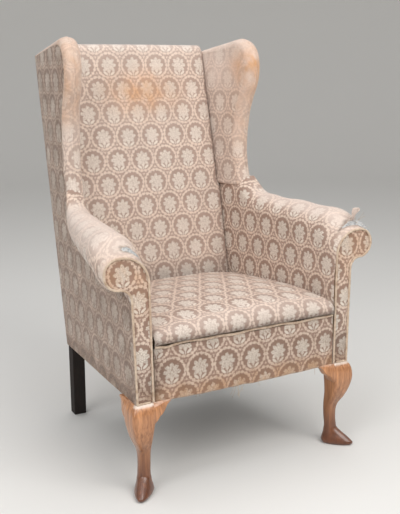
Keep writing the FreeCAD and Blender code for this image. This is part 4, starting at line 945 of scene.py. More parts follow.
def make_side_panel(left):
    """The outside cloth from the seat rail to the roll, the wing's rolled edge and the back."""
    name = "outside_panel_" + side_name(left)
    under = np.stack([roll_end(ARM_ROWS) + 1.5, ARM_ROWS[:, 0]], -1)
    line = wing_line()
    _, inward = wing_section(line)
    seam = line + inward * (WING_OUTER_ROUND + 0.3)
    walked = along(line) / along(line)[-1]
    seam = seam[(seam[:, 1] > 458) & (walked < 0.72)]
    crest = int(np.argmax(seam[:, 1]))
    front = np.concatenate([under[:, ::-1], seam[:crest + 1]])
    order = np.maximum.accumulate(front[:, 1] + np.arange(len(front)) * 1e-4)
    top_z = WING_ROWS[-1][1] - WING_OUTER_ROUND * 0.8
    z = np.concatenate([np.linspace(-1, 246, 40), np.linspace(250, order[-1] - 1, 120)])
    first_y = np.where(z < order[0], 0.0, np.interp(z, order, front[:, 0]))
    last_y = back_line(z) + 2.0
    t = np.linspace(0, 1, 70)[None, :]
    y = first_y[:, None] + (last_y - first_y)[:, None] * t
    z = z[:, None] + 0 * y
    cap = top_z + 8 * smooth(y, 475, last_y[-1]) + WING_TOP_SLOPE * (y - 475)
    z = np.where(y > 470, np.minimum(z, np.maximum(cap, z - 60)), z)
    z[z > cap] = cap[z > cap]
    edge_gap = np.minimum(np.minimum(y - first_y[:, None], last_y[:, None] - y), z + 4)
    full = 2.2 * smooth(edge_gap, 0, 60)
    points = stacked(full - 0.4, y, z)
    pucker = ripple(points * 0.001, 0.035, 41) * np.exp(-(y - first_y[:, None]) / 22) * 0.9
    points[..., 0] += pucker * smooth(z, 240, 300) + 0.7 * ripple(points * 0.001, 0.2, 42 + left)
    cloth = np.stack([y, z], -1) * 0.001
    world = place(points, SIDE, left)
    # Darker along the bottom; painted shade beside the front edge; the even 0.55 is partly dirt and partly
    # painted shade over the whole side.
    soil_and_shade = 0.35 * smooth(-z, -60, 0) + 0.2 * np.exp(-(y - first_y[:, None]) / 15)
    piece = surface(name, world, cloth, CLOTH, core=(0, 0, 0.7),
                    masks=wear(world, bleach_and_highlight=0.12, stain=0.16, grime_and_shade=np.clip(soil_and_shade + 0.55, 0, 1)))
    dress(piece, "frame", "damask", "outside_side_cover_" + side_name(left))
    return piece


def make_outside_back():
    """The outside back: from rail to top, its top corners sloping down to the wings."""
    cos_rake = math.cos(RAKE)
    shoulder = WING_ROWS[-1][1] + WING_TOP_SLOPE * (back_line(835.0) - 475)
    s = np.linspace(0, 1, 120)[:, None]
    z = s * BACK_HEIGHT
    y = FRAME_LENGTH + z * math.tan(RAKE)
    half = SEAT_HALF - y * math.tan(PLAN) + z * math.tan(LEAN)
    half = half - 60 * np.clip((z - shoulder) / (BACK_HEIGHT - shoulder), 0, 1)
    t = np.linspace(-1, 1, 90)[None, :]
    x = half * t
    edge_gap = np.minimum(half - np.abs(x), np.minimum(z, BACK_HEIGHT - z))
    full = 2.4 * smooth(edge_gap, 0, 90)
    points = stacked(x, full, z / cos_rake)
    points[..., 1] += 0.8 * ripple(points * 0.001, 0.22, 51)
    points[..., 1] += 0.6 * np.sin(x / 9.0) * np.exp(-edge_gap / 10)
    cloth = np.stack([-x, points[..., 2]], -1) * 0.001
    world = place(points, BACK)
    # Darker along the bottom edge, and slightly all over.
    soil_and_shade = 0.3 * smooth(-z, -50, 0) + 0 * x
    piece = surface("outside_back", world, cloth, CLOTH, core=(0, 0, 0.7),
                    masks=wear(world, bleach_and_highlight=0.2, stain=0.1, grime_and_shade=soil_and_shade + 0.08))
    dress(piece, "frame", "damask", "outside_back_cover")
    return piece


# Inside back


def back_half_width(z):
    """Half the width between the wings' inner faces at the front of the back, at a height up the rake."""
    depth = -BACK_THICK + 10
    chair_y = FRAME_LENGTH + depth * math.cos(RAKE) + z * math.sin(RAKE)
    chair_z = -depth * math.sin(RAKE) + z * math.cos(RAKE)
    side_y = chair_y / math.cos(PLAN)
    wing = smooth(chair_z, 430, 448)
    inner = wing_inner(side_y, chair_z) * wing - ARM_THICK * (1 - wing)
    return (SEAT_HALF + inner * math.cos(PLAN) - side_y * math.sin(PLAN)
            + chair_z * math.sin(LEAN))


def make_inside_back():
    """The stuffed back: crowned across, tucked in at the wings, rounded over at the top."""
    high = BACK_HEIGHT / math.cos(RAKE)
    rise_z = np.linspace(BACK_BASE + 4, high - 26, 120)
    turn = np.linspace(0, math.pi / 2, 18)[1:]
    over_z = high - 26 + 26 * np.sin(turn)
    over_y = 34 * (1 - np.cos(turn))
    rear = np.linspace(0, 1, 10)[1:]
    z = np.concatenate([rise_z, over_z, np.full(len(rear), high)])[:, None]
    set_back = np.concatenate([0 * rise_z, over_y, 34 + (BACK_THICK - 34 - SKIN) * rear])[:, None]
    half = back_half_width(z) - 1.6 * smooth(z, 330, 460) - 0.4
    t = np.sin(np.linspace(-1, 1, 110) * math.pi / 2)[None, :] * 0.5 + np.linspace(-1, 1, 110)[None, :] * 0.5
    x = half * t
    crown = BACK_CROWN * smooth(z, 210, 420) * (1 - t ** 2) * smooth(-set_back, -40, 0)
    tuck = 13 * (1 - np.sqrt(np.clip(1 - np.clip((np.abs(x) - half + 15) / 15.2, 0, 1) ** 2, 0, 1)))
    tuck = tuck * smooth(-set_back, -30, 0)
    points = stacked(x, -BACK_THICK + 1.0 + set_back - crown + tuck, z)
    hollow = spot(points, [0, -90, 350], [170, 80, 130])
    points[..., 1] += 3.5 * hollow + 1.2 * ripple(points * 0.001, 0.17, 61) * smooth(-set_back, -30, 0)
    length = along(np.swapaxes(points[:, 50:60], 0, 1)).mean(0)[:, None]
    cloth = stacked(x + 25, length - 7) * 0.001
    ends = []
    for edge in (0, -1):
        turned_in = points[:, edge].copy()
        turned_in[:, 0] *= 0.997
        turned_in[:, 1] = np.maximum(turned_in[:, 1], -35)
        turned_in[:, 2] = np.minimum(turned_in[:, 2], high - 48)
        ends.append(turned_in[:, None])
    points = np.concatenate([ends[0], points, ends[1]], axis=1)
    cloth = np.concatenate([cloth[:, :1] - [0.05, 0], cloth, cloth[:, -1:] + [0.05, 0]], axis=1)
    x = np.concatenate([x[:, :1], x, x[:, -1:]], axis=1)
    world = place(points, BACK)
    sat = 0.36 + 0.2 * spot(points, [0, -90, 700], [150, 80, 90]) + 0.25 * smooth(z, 780, 860) + 0 * x
    # Painted shadow in the gaps beside the wings, and painted shade low down, where the back meets the seat.
    soil_and_shade = 0.45 * np.exp(-(half - np.abs(x)) / 9) + 0.25 * smooth(-z, -240, -170)
    piece = surface("inside_back", world, cloth, CLOTH, core=place([0, 0, 400], BACK),
                    masks=wear(world, bleach_and_highlight=sat, grime_and_shade=soil_and_shade))
    rim = np.maximum(smooth(np.abs(x) - half, -30, -12), smooth(set_back, 2, 14) + 0 * x)
    settle(piece, np.maximum(rim, smooth(-z, -150, -110)), 1.2, 0.004)
    dress(piece, "frame", "damask", "back_pad", "inside_back_cover")
    return piece


# Seat


SEAT_MIDDLE = [(4, 141), (-5, 142.5), (-11, 148), (-13.5, 157), (-13, 168), (-9, 179), (0, 189), (13, 196),
               (30, 199.5), (55, 200.5), (120, 200), (200, 198), (340, 190), (452, 181)]
SEAT_SIDE = [(4, 141), (-5, 142), (-10.5, 146), (-12.5, 152), (-11.5, 159), (-8, 166), (-1, 172), (9, 176),
             (26, 179), (52, 182), (120, 186), (200, 186.5), (340, 178), (452, 168)]


def make_seat():
    """The tight sprung seat: its profile runs from the lip round the nose and back over the crown.

    Across, a point lies between the middle's profile and the side's by 1 - |t|^2.4, and the last
    few millimetres turn down beside the arms."""
    middle = evenly(curve_through(np.linspace(0, 13, 400), np.arange(14), SEAT_MIDDLE), 150)
    edge = evenly(curve_through(np.linspace(0, 13, 400), np.arange(14), SEAT_SIDE), 150)
    t = np.linspace(-1, 1, 131)
    t = (0.6 * t + 0.4 * np.sin(t * math.pi / 2))[None, :]
    plump, sunk = np.exp(-((t - 0.55) / 0.3) ** 2), np.exp(-((t + 0.6) / 0.3) ** 2)
    lift = (1 - np.abs(t) ** 2.4) + 0.16 * plump - 0.2 * sunk
    y = edge[:, :1] + (middle[:, :1] - edge[:, :1]) * lift
    z = edge[:, 1:] + (middle[:, 1:] - edge[:, 1:]) * lift
    half = SEAT_HALF - ARM_THICK / math.cos(PLAN) - 0.6 - np.maximum(y, 0) * math.tan(PLAN)
    x = half * t
    rounding = np.clip((np.abs(x) - half + 16) / 16.3, 0, 1)
    drop = 15 * (1 - np.sqrt(1 - rounding ** 2))
    front = smooth(-y, -16, 4)
    points = stacked(x, y + drop * 0.6 * front, z - drop * (1 - 0.55 * front))
    points[..., 2] += 1.8 * ripple(points * 0.001, 0.13, 71) * smooth(z, 150, 185)
    crease = np.exp(-((x + half - 30) / 26) ** 2) * np.exp(-((z - 160) / 16) ** 2)
    points[..., 1] += 3.5 * crease * np.sin((z + x * 0.5) / 5.0)
    length = along(np.swapaxes(points[:, 60:70], 0, 1)).mean(0)[:, None]
    cloth = np.stack([x, length + 0 * x + 30], -1) * 0.001
    world = place(points, CHAIR)
    # Painted shade: darker in the creases beside the arms and under the nose, just above the cord.
    soil_and_shade = 0.5 * np.exp(-(half - np.abs(x)) / 10) + 1.0 * np.exp(-((z - 140) / 13) ** 2)
    # Painted highlight: paler over the nose's upper front, where the satin shines, on an even fade of 0.18.
    pale = 0.35 * smooth(z, 150, 172) * smooth(-y, -60, 0) + 0.18
    piece = surface("seat", world, cloth, CLOTH, core=place([0, 250, 100], CHAIR),
                    masks=wear(world, bleach_and_highlight=pale, grime_and_shade=np.clip(soil_and_shade, 0, 1)))
    rim = np.maximum(smooth(np.abs(x) - half, -26, -10), smooth(-y, -14, -2))
    settle(piece, np.maximum(rim, smooth(y, 420, 440)), 1.6, 0.006)
    dress(piece, "seat", "damask", "seat_pad", "seat_cover")
    return piece


def make_border():
    """The panel under the lip, full in the middle and rolled under the rail at its foot."""
    down = np.concatenate([np.linspace(LIP_HEIGHT - 4, 4, 60), 4 - 8 * np.sin(np.linspace(0, 1.5, 14)[1:])])
    under = np.concatenate([np.zeros(60), 8 * (1 - np.cos(np.linspace(0, 1.5, 14)[1:]))])
    down = np.append(down, down[-1] + 0.3)[:, None]
    under = np.append(under, 26)[:, None]
    half = SEAT_HALF - ARM_THICK - 0.6
    t = np.linspace(-1, 1, 120)[None, :]
    x = half * t
    full = 8 * np.sin(np.clip((LIP_HEIGHT - down) / 140, 0, 1) * math.pi) ** 0.7 * (1 - np.abs(t) ** 6)
    points = stacked(x, under + 1.2 - full, down)
    swag = 4.0 * (1 - t ** 2) * smooth(-down, -60, 0)
    points[..., 2] -= swag + 1.2 * ripple(points * 0.001, 0.07, 82) * smooth(-down, -25, 0)
    points[..., 1] -= 0.9 * ripple(points * 0.001, 0.11, 81)
    points[..., 1] = np.minimum(points[..., 1], under + 1.5)
    cloth = stacked(x + 30, down - under) * 0.001
    world = place(points, CHAIR)
    # Painted shade at both ends, where the border meets the facings, deeper at the left; the even 0.26 is
    # partly dirt and partly painted shade over the whole border.
    soil_and_shade = 0.6 * np.exp(-(half + x) / 14) + 0.25 * np.exp(-(half - x) / 10) + 0 * down
    piece = surface("front_border", world, cloth, CLOTH, core=place([0, 200, 60], CHAIR),
                    masks=wear(world, stain=0.08 + 0.3 * smooth(-down, -40, -5) + 0 * x,
                               grime_and_shade=np.clip(soil_and_shade + 0.26, 0, 1)))
    dress(piece, "frame", "damask", "front_border_pad", "front_border_cover")
    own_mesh(piece)
    rng = np.random.default_rng(83)
    strands = []
    for at in (-150, -143, -42, -36, -30, -27, -20, -12, 34, 101, 214):
        length = rng.uniform(7, 24) * (1.9 if abs(at + 26) < 20 else 0.8)
        t = np.linspace(0, 1, 12)
        bend = rng.normal(size=3) * length * 0.4
        strand = stacked(at + bend[0] * t ** 2, 7 + bend[1] * t ** 2 * 0.5, -3.5 - length * t)
        strands.append(place(strand, CHAIR))
    threads("border_threads", strands, "frame", 0.0004)
    return piece


def make_flap():
    """The scrap of torn cloth that stands up from the right arm's roll, split into two tongues."""
    t = np.linspace(0, 1, 26)[:, None]
    u = np.linspace(-1, 1, 15)[None, :]
    tongue = np.sign(u) * smooth(t, 0.45, 1.0)
    width = 7.5 * (1 - 0.35 * t) * (1 - 0.5 * smooth(t, 0.85, 1.0) * np.abs(np.abs(u) - 0.5) * 2)
    x = 20 + u * width + tongue * 11 + 20 * t
    y = 34 - 8 * np.sin(2.4 * t) + 1.5 * np.cos(3 * u + 5 * t)
    z = SCROLL_HEIGHT + 11 + 38 * t ** 1.1 - 3 * np.abs(u) * t + 1.2 * np.sin(9 * t + 2 * u)
    points = stacked(x, y, z)
    cloth = stacked(u * 7 + 20, t * 27) * 0.001
    world = place(points, SIDE)
    piece = surface("torn_flap", world, cloth, CLOTH, core=(0.34, 0, 0.62), masks=wear(world, bleach_and_highlight=0.95))
    thick = piece.modifiers.new("thickness", "SOLIDIFY")
    thick.thickness = 0.0009
    dress(piece, "frame", "damask")
    rng = np.random.default_rng(17)
    strands = []
    for _ in range(14):
        start = np.array([rng.uniform(4, 52), rng.uniform(6, 40), SCROLL_HEIGHT + 9])
        t = np.linspace(0, 1, 12)[:, None]
        bend = rng.normal(size=3)
        rise_mm = rng.uniform(6, 16)
        way = t * [0.3 * bend[0], 0.3 * bend[1], 0.8] + 0.6 * t ** 2 * bend
        strands.append(place(start + rise_mm * way, SIDE))
    threads("flap_threads", strands, "frame")


def make_stitches(left):
    """Hand stitches along the wing's outer seam, where the outside panel is sewn to the rolled edge."""
    line = wing_line()
    _, inward = wing_section(line)
    seam = evenly(line + inward * (WING_OUTER_ROUND - 0.2), 62)
    ahead = direction(seam)
    across = np.stack([ahead[:, 1], -ahead[:, 0]], -1)
    strands = []
    for middle, way, side in zip(seam[2:-2], ahead[2:-2], across[2:-2]):
        t = np.linspace(-1, 1, 7)[:, None]
        flat = middle + t * (2.2 * way + 1.3 * side)
        strands.append(place(stacked(1.3 - 1.4 * t[:, 0] ** 2, flat[:, 0], flat[:, 1]), SIDE, left))
    threads("wing_stitches_" + side_name(left), strands, "frame", 0.00045)


# Facings and cords


def facing_line(inset, base=0.0):
    """The scroll's edge in its own plane, up the inner side, over the roll and down the hollow."""
    inner = inset - ARM_THICK
    radius, roll = SCROLL_INNER - inset, SCROLL_RADIUS - inset
    top, neck = SCROLL_HEIGHT - inset, SCROLL_NECK + inset
    middle = SCROLL_INNER - ARM_THICK + SCROLL_FLAT
    quarter = np.linspace(0, math.pi / 2, 30)
    half_turn = np.linspace(0, math.pi, 60)
    under = top - 2 * roll
    pieces = [
        np.stack([np.full(60, float(inner)), np.linspace(base, top - radius, 60)], -1),
        np.stack([inner + radius - radius * np.cos(quarter), top - radius + radius * np.sin(quarter)], -1),
        np.stack([middle + roll * np.sin(half_turn), top - roll + roll * np.cos(half_turn)], -1),
        np.stack([middle - neck * np.sin(quarter), under - neck + neck * np.cos(quarter)], -1),
        np.linspace([middle - neck, under - neck], [-inset, base], 60),
    ]
    line = np.concatenate(pieces)
    keep = np.concatenate([[True], np.linalg.norm(np.diff(line, axis=0), axis=1) > 1e-6])
    return line[keep]


def make_facing(left):
    """The scroll-shaped front of the arm, slightly domed between its cords."""
    name = "facing_" + side_name(left)
    edge = evenly(facing_line(3.6, 0.4), 240)
    head = np.array([22.0, SCROLL_HEIGHT - 48])
    middle_x = np.interp(edge[:, 1], [0, 230, 268, 320, 366], [-25, -20, -8, head[0], head[0]])
    spine = np.stack([middle_x, np.clip(edge[:, 1], 6, head[1])], -1)
    k = np.linspace(0, 1, 26)[:, None, None]
    flat = edge[None] * (1 - k) + spine[None] * k
    dome = 2.6 * (1 - (1 - k[..., 0]) ** 2) - 1.4
    points = stacked(flat[..., 0], -dome, flat[..., 1])
    points[..., 1] += 0.6 * ripple(points * 0.001 + (9 if left else 0), 0.08, 91)
    cloth = np.stack([flat[..., 0] + (18 if left else 52), flat[..., 1] + 20], -1) * 0.001
    world = place(points, FACING, left)
    z = flat[..., 1]
    # Dirt towards the bottom, and painted shade along the edge, where the face dips under the cord.
    soil_and_shade = 0.55 * smooth(-z, -150, -30) + 0.3 * np.exp(-k[..., 0] / 0.12)
    piece = surface(name, world, cloth, CLOTH, core=place([-20, 60, 180], FACING, left),
                    masks=wear(world, stain=0.3 * smooth(z, 150, 300), grime_and_shade=np.clip(soil_and_shade, 0, 1)))
    dress(piece, "frame", "damask", "facing_cover_" + side_name(left))
    return piece


def twisted_cord(line, radius, lobes=2, twist=9.0, sides=14):
    """Strands laid round a line: at angle a and distance s the radius is
    r (0.78 + 0.24 |cos(n a/2 - pi s/p)|)."""
    line = evenly(line, max(8, int(along(line)[-1] / 1.6)))
    turn = np.linspace(0, 2 * math.pi, sides, endpoint=False)
    walked = along(line)[:, None]
    swell = radius * (0.78 + 0.24 * np.abs(np.cos(lobes * turn / 2 - math.pi * walked / twist)))
    return round_rings(line, [0.13, 1.0, 0.07], swell[..., None], turn)


def make_facing_cord(left):
    """The twisted cord sewn round the scroll."""
    line = facing_line(CORD_RADIUS + 1.2, 1.5)
    line = np.concatenate([line, np.linspace(line[-1], line[0], 40)[1:-8]])
    flat = np.stack([line[:, 0], np.full(len(line), CORD_RADIUS - 3.0), line[:, 1]], -1)
    flat[:, 1] += 0.35 * ripple(flat * 0.001, 0.03, 95)
    rings = place(twisted_cord(flat, CORD_RADIUS + 0.6), FACING, left)
    piece = rings_surface("facing_cord_" + side_name(left), rings, PIPING)
    return dress(piece, "frame", "piping", "facing_piping_" + side_name(left))


def make_lip_cord():
    """The cord along the seat's lip, a little uneven, hooked down at its left end."""
    half = SEAT_HALF - ARM_THICK - 3.5
    x = np.linspace(-half, half, 400)
    wander = 1.3 * np.sin(x / 37.0) + 1.0 * np.sin(x / 15.0 + 1.0)
    hook = 3.2 * np.exp(-((x + half - 32) / 13) ** 2)
    line = np.stack([x, -0.6 - 0.8 * (1 - (x / half) ** 6), LIP_HEIGHT + wander - hook], -1)
    rings = place(twisted_cord(line, 3.7, twist=9.0), CHAIR)
    piece = rings_surface("lip_cord", rings, PIPING)
    return dress(piece, "seat", "piping", "seat_lip_cord")


# Legs


LEG_ROWS = np.array([
    (0, 26, 26, 4), (-12, 22, 29, 5), (-36, 19, 31, 7), (-68, 20, 28, 9), (-100, 25, 22.5, 11),
    (-126, 32, 17, 12), (-166, 33.5, 15.5, 13.5), (-190, 32, 16, 15), (-206, 32, 16.5, 16),
    (-241, 32, 14, 14),
])
FOOT_ROWS = np.array([(-241, 19, 0.86), (-238, 22, 0.95), (-233, 24.5, 1.0), (-224, 23, 0.88),
                      (-210, 19, 0.58), (-198, 17, 0.32), (-189, 14, 0.2), (-175, 9, 0.1), (0, 2, 0.03)])
FOOT_HEADING = math.radians(-56)
ANKLE = 32


def make_front_leg(left):
    """Cabriole leg: rounded squares that swell and thin, met by a pointed pad foot, and its post above.

    A ring's radius at angle a is half / (|cos a|^n + |sin a|^n)^(1/n); the foot's is the same with
    the toe's reach for one axis, and n going from 2 at the sides to 1.7 at the toe. Where both
    meet, the larger one wins, softly."""
    z = np.concatenate([np.linspace(0, -30, 14), np.linspace(-34, -180, 54), np.linspace(-183, -241, 34)])
    rows = curve_through(-z, -LEG_ROWS[:, 0], LEG_ROWS)
    inset, half, corner = (rows[:, i:i + 1] for i in (1, 2, 3))
    a = np.linspace(0, 2 * math.pi, 72, endpoint=False)[None, :]
    power = 2 + 7 * np.clip(1 - corner / half, 0, 1) ** 1.3
    shaft = half / (np.abs(np.cos(a)) ** power + np.abs(np.sin(a)) ** power) ** (1 / power)
    corner_x, corner_y = SEAT_HALF + LEG_PROUD, -LEG_PROUD
    centre_x, centre_y = corner_x - inset, corner_y + inset
    feet = curve_through(-z[::-1], -FOOT_ROWS[::-1, 0], FOOT_ROWS[::-1])[::-1]
    toe_length = (TOE_REACH - LEG_PROUD + ANKLE) / math.sin(-FOOT_HEADING)
    heel, toe = feet[:, 1:2], feet[:, 2:3] * toe_length
    forward = np.cos(a - FOOT_HEADING)
    across = np.sin(a - FOOT_HEADING)
    reach = np.where(forward > 0, np.maximum(toe, heel * 0.98), heel)
    n = 2 - 0.3 * smooth(forward, 0, 0.5)
    foot = 1 / ((np.abs(forward) / reach) ** n + (np.abs(across) / heel) ** n) ** (1 / n)
    low = smooth(-z[:, None], 165, 186)
    blend_mm = 3.0
    both_max = np.maximum(shaft, foot) + blend_mm * 0.25 * np.exp(-np.abs(shaft - foot) / blend_mm) * low
    radius = np.where(low > 0, both_max, shaft)
    ring = stacked(centre_x + radius * np.cos(a), centre_y + radius * np.sin(a), z[:, None])
    post_n = 18
    post_r = 22.4 / (np.abs(np.cos(a)) ** post_n + np.abs(np.sin(a)) ** post_n) ** (1 / post_n)
    post = [stacked(290.2 + post_r * np.cos(a), 26.3 + post_r * np.sin(a), np.full((1, 1), level))
            for level in (75.0, 0.3)]
    shoulder = ring[:1] * 0.97 + ring[:1].mean(1, keepdims=True) * 0.03 + [0, 0, 0.3]
    ring = np.concatenate([*post, shoulder, ring])
    world = place(ring, CHAIR, left)
    level = ring[..., 2]
    ahead = smooth(centre_y[0] - ring[..., 1], 8, 22)
    band = 0.68 * (1 - smooth(-level, 1, 15)) * smooth(level, -20, -12) * (0.2 + 0.8 * ahead)
    padded_rows = np.concatenate([band[:1], band, band[-1:]])
    piece = rings_surface("front_leg_" + side_name(left) + "_carved", world, WALNUT,
                          masks={"worn": np.clip(padded_rows, 0, 1)})
    return dress(piece, "frame", "walnut_leg", "front_leg_" + side_name(left))


EAR_EDGE = [(226, -5), (230, -7), (236, -13), (243, -24), (249, -31), (254, -34), (259, -36), (264, -46),
            (270, -53), (275, -56)]


def ear_points(spread):
    """One shaped block beside the knee: thickest at the knee, its lower edge hollow, stepped and hollow."""
    x = np.linspace(226.4, 275, 56)[:, None]
    low = np.interp(x, [p[0] for p in EAR_EDGE], [p[1] for p in EAR_EDGE])
    low = (low + np.roll(low, 1, 0) + np.roll(low, -1, 0)) / 3
    low[0], low[-1] = -5, -56
    grow = smooth(x, 226, 262)
    s = np.linspace(0, 1, 26)[None, :]
    z_front = low * s
    bulge = 9 * grow * (1 - ((-z_front - 32) / 36) ** 2)
    edge_round = 3.0 * smooth(s, 0.86, 1.0) ** 2
    y_front = -LEG_PROUD - np.maximum(bulge, 0) * smooth(s, 0.0, 0.2) + edge_round
    back_y = 22 - 4 * (1 - grow)
    under_s = np.linspace(0, 1, 8)[None, 1:]
    y_under = y_front[:, -1:] + (back_y - y_front[:, -1:]) * under_s
    z_under = low + 0 * under_s
    rise_s = np.linspace(0, 1, 8)[None, 1:]
    y_top = back_y + (y_front[:, :1] - back_y) * rise_s[:, :-1]
    y = np.concatenate([y_front, y_under, back_y + 0 * rise_s, y_top], axis=1)
    z = np.concatenate([z_front, z_under, low * (1 - rise_s), 0 * x * rise_s[:, :-1]], axis=1)
    points = stacked(x, y, z)
    if spread:
        away = points - [SEAT_HALF + LEG_PROUD, -LEG_PROUD, 0]
        points = stacked(SEAT_HALF + LEG_PROUD - away[..., 1], -LEG_PROUD - away[..., 0], points[..., 2])
    return points


def make_leg_ears(left):
    made = []
    for spread, word in ((False, "front"), (True, "side")):
        rings = place(ear_points(spread), CHAIR, left)
        level = np.concatenate([rings[:1], rings, rings[-1:]])[..., 2]
        worn = (0.1 if spread else 0.45) * smooth(level, 0.233, 0.2395)
        piece = rings_surface("leg_ear_%s_%s" % (word, side_name(left)), rings, WALNUT, masks={"worn": worn})
        made.append(dress(piece, "frame", "walnut_leg"))
    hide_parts("leg_ears_" + side_name(left))
    return made


def make_rear_leg(left):
    """A copy of the rear post with its edges eased."""
    import bmesh
    node = nodes["rear_post_" + side_name(left)]
    work = bmesh.new()
    work.from_mesh(node.data)
    bmesh.ops.remove_doubles(work, verts=work.verts, dist=1e-5)
    bmesh.ops.dissolve_limit(work, angle_limit=0.01, verts=work.verts, edges=work.edges)
    mesh = bpy.data.meshes.new("rear_leg_" + side_name(left))
    work.to_mesh(mesh)
    work.free()
    mesh.materials.clear()
    mesh.materials.append(DARK_STAIN)
    piece = bpy.data.objects.new(mesh.name, mesh)
    bpy.context.scene.collection.objects.link(piece)
    ease = piece.modifiers.new("eased_edges", "BEVEL")
    ease.width = 0.0022
    ease.segments = 3
    ease.limit_method = "ANGLE"
    return dress(piece, "frame", "dark_post", "rear_post_" + side_name(left))


# Under the seat


WIRE_RADIUS = 2.0


def make_springs():
    """Nine hourglass coils of round wire: the radius narrows to the waist at half height."""
    low, high = (corner.z * 1000 - RAIL_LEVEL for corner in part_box("seat_springs"))
    share = np.linspace(0, 1, 180)
    parts = []
    for i in (-1, 0, 1):
        for j in (0, 1, 2):
            turn = 2 * math.pi * 5 * share
            radius = 26 + 14 * (2 * share - 1) ** 2
            ease = smooth(share, 0.0, 0.12) * 0.12 + share - 0.06
            height = low + 2 + (high - low - 4) * np.clip(ease, 0, 1)
            line = stacked(150 * i + radius * np.cos(turn), 125 + 130 * j + radius * np.sin(turn), height)
            around = np.linspace(0, 2 * math.pi, 8, endpoint=False)
            rings = round_rings(line, [0, 0, 1.0], WIRE_RADIUS, around)
            parts.append(rings_surface("coil_%d_%d" % (i + 1, j), place(rings, CHAIR), SPRING_STEEL))
    piece = dress(joined("coil_springs", parts), "frame", "spring_steel", "seat_springs")
    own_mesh(piece)


def make_dust_cover():
    """Black lining tacked under the rails, cut round the legs and sagging a little between them."""
    y = [np.linspace(*part) for part in ((5, 49, 12), (53, 486, 90), (490, 536, 12))]
    y = np.concatenate(y)[:, None]
    half = SEAT_HALF - 12 - y * math.tan(PLAN)
    half = np.where(y < 51, SEAT_HALF - 66, np.where(y > 488, half - 40, half))
    t = np.linspace(-1, 1, 110)[None, :]
    x = half * t
    low = np.sin(np.clip((y - 25) / 480, 0, 1) * math.pi) * (1 - t ** 2)
    pull = 0.8 * np.cos(x / 40 * math.pi) * np.exp(-np.minimum(y - 5, 536 - y) / 30)
    z = -0.2 - 5.5 * low + pull * (1 - np.abs(t)) + 0.4 * ripple(stacked(x, y, 0) * 0.001, 0.05, 99)
    z = np.minimum(z, 0.6)
    points = place(stacked(x, y, z), CHAIR)
    piece = surface("dust_sheet", points, stacked(x, y) * 0.001, LINING, core=(0, 0, 0.6))
    thick = piece.modifiers.new("thickness", "SOLIDIFY")
    thick.thickness = 0.0006
    dress(piece, "frame", "lining", "dust_cover")


# Camera, stage and lights


def make_camera():
    """The camera that the chair's own straight edges give in the photograph, 400 x 514 pixels."""
    focal_pixels, long_side = 846.35, 514
    pitch, yaw, roll = math.radians(12.07), math.radians(-29.31), math.radians(-0.67)
    spot_mm = Vector((-1108.82, -2065.40, 1006.82))
    forward = Vector((-math.sin(yaw) * math.cos(pitch), math.cos(yaw) * math.cos(pitch), -math.sin(pitch)))
    right = Vector((math.cos(yaw), math.sin(yaw), 0))
    up = right.cross(forward)
    right, up = right * math.cos(roll) + up * math.sin(roll), up * math.cos(roll) - right * math.sin(roll)
    data = bpy.data.cameras.new("camera")
    data.sensor_fit = "AUTO"
    data.sensor_width = 36
    data.lens = 36 * focal_pixels / long_side
    camera = bpy.data.objects.new("camera", data)
    turn = Matrix((right, up, -forward)).transposed()
    camera.matrix_world = Matrix.Translation(spot_mm * 0.001) @ turn.to_4x4()
    bpy.context.scene.collection.objects.link(camera)
    bpy.context.scene.camera = camera


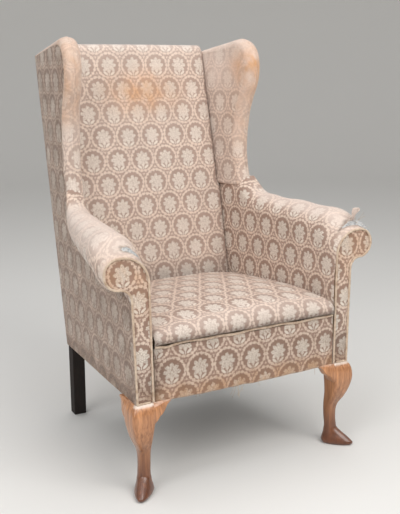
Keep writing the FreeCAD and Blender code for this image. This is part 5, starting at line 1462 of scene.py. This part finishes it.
def make_floor():
    """A round pale floor that curves up into a low wall all round, so no view meets its edge.

    Its profile is a straight run, then a quarter circle, then upright; it is turned about the middle."""
    material, _, _ = finish_surface("pale_floor", Roughness=0.9, Base_Color=(0.80, 0.79, 0.77, 1))
    bend = np.linspace(0, math.pi / 2, 30)
    run = np.concatenate([np.linspace(0.0, 6, 40), 6 + 2 * np.sin(bend[1:]), [8.0]])[:, None]
    lift = np.concatenate([np.zeros(40), 2 * (1 - np.cos(bend[1:])), [3.6]])[:, None]
    turn = np.linspace(0, 2 * math.pi, 97)[None, :]
    points = stacked(run * np.cos(turn), run * np.sin(turn), lift)
    floor = surface("floor", points, points[..., :2], material, core=(0, 0, -50))
    merge(floor, 0.0001)


def make_lights():
    def lamp(name, size, power, spot_at, aim, colour=(1, 1, 1)):
        data = bpy.data.lights.new(name, "AREA")
        data.shape = "RECTANGLE"
        data.size, data.size_y = size
        data.energy = power
        data.color = colour
        lamp_object = bpy.data.objects.new(name, data)
        lamp_object.location = spot_at
        lamp_object.rotation_euler = (Vector(aim) - Vector(spot_at)).to_track_quat("-Z", "Y").to_euler()
        bpy.context.scene.collection.objects.link(lamp_object)

    lamp("window", (2.4, 2.0), 62, (0.5, -2.6, 2.9), (0, 0, 0.75), (1.0, 0.985, 0.96))
    lamp("sky", (3.0, 3.0), 34, (-0.2, 0.0, 3.2), (0, 0, 0.4), (0.97, 0.985, 1.0))
    lamp("fill", (2.0, 2.0), 38, (-2.6, -1.6, 2.3), (0.1, 0, 0.8))
    world = bpy.data.worlds.new("studio")
    bpy.context.scene.world = world
    world.use_nodes = True
    tree = world.node_tree
    background = tree.nodes["Background"]
    path = add(tree, "ShaderNodeLightPath")
    camera, glossy, through_glass = (Field(tree, path.outputs["Is %s Ray" % kind])
                                     for kind in ("Camera", "Glossy", "Transmission"))
    strength = camera.through("MAXIMUM", glossy.through("MAXIMUM", through_glass)) * 0.55 + 0.42
    background.inputs["Color"].default_value = (1.0, 0.995, 0.985, 1)
    put(tree, background.inputs["Strength"], strength)
    bpy.context.scene.view_settings.view_transform = "Standard"


def dress_hidden_nodes():
    """Every CAD node that stays gets the finish of its slot."""
    slots = {part["node"]: part["material_slot"] for part in frame["record"]["subparts"]}
    for name, node in nodes.items():
        node.data.materials.clear()
        node.data.materials.append(SLOT_FINISH[slots[name]])


make_camera()
make_floor()
make_lights()
dress_hidden_nodes()
both(make_arm)
both(make_wing)
both(make_side_panel)
make_outside_back()
make_inside_back()
make_seat()
make_border()
both(make_facing)
both(make_facing_cord)
make_lip_cord()
both(make_front_leg)
both(make_leg_ears)
both(make_rear_leg)
make_flap()
both(make_stitches)
make_springs()
make_dust_cover()
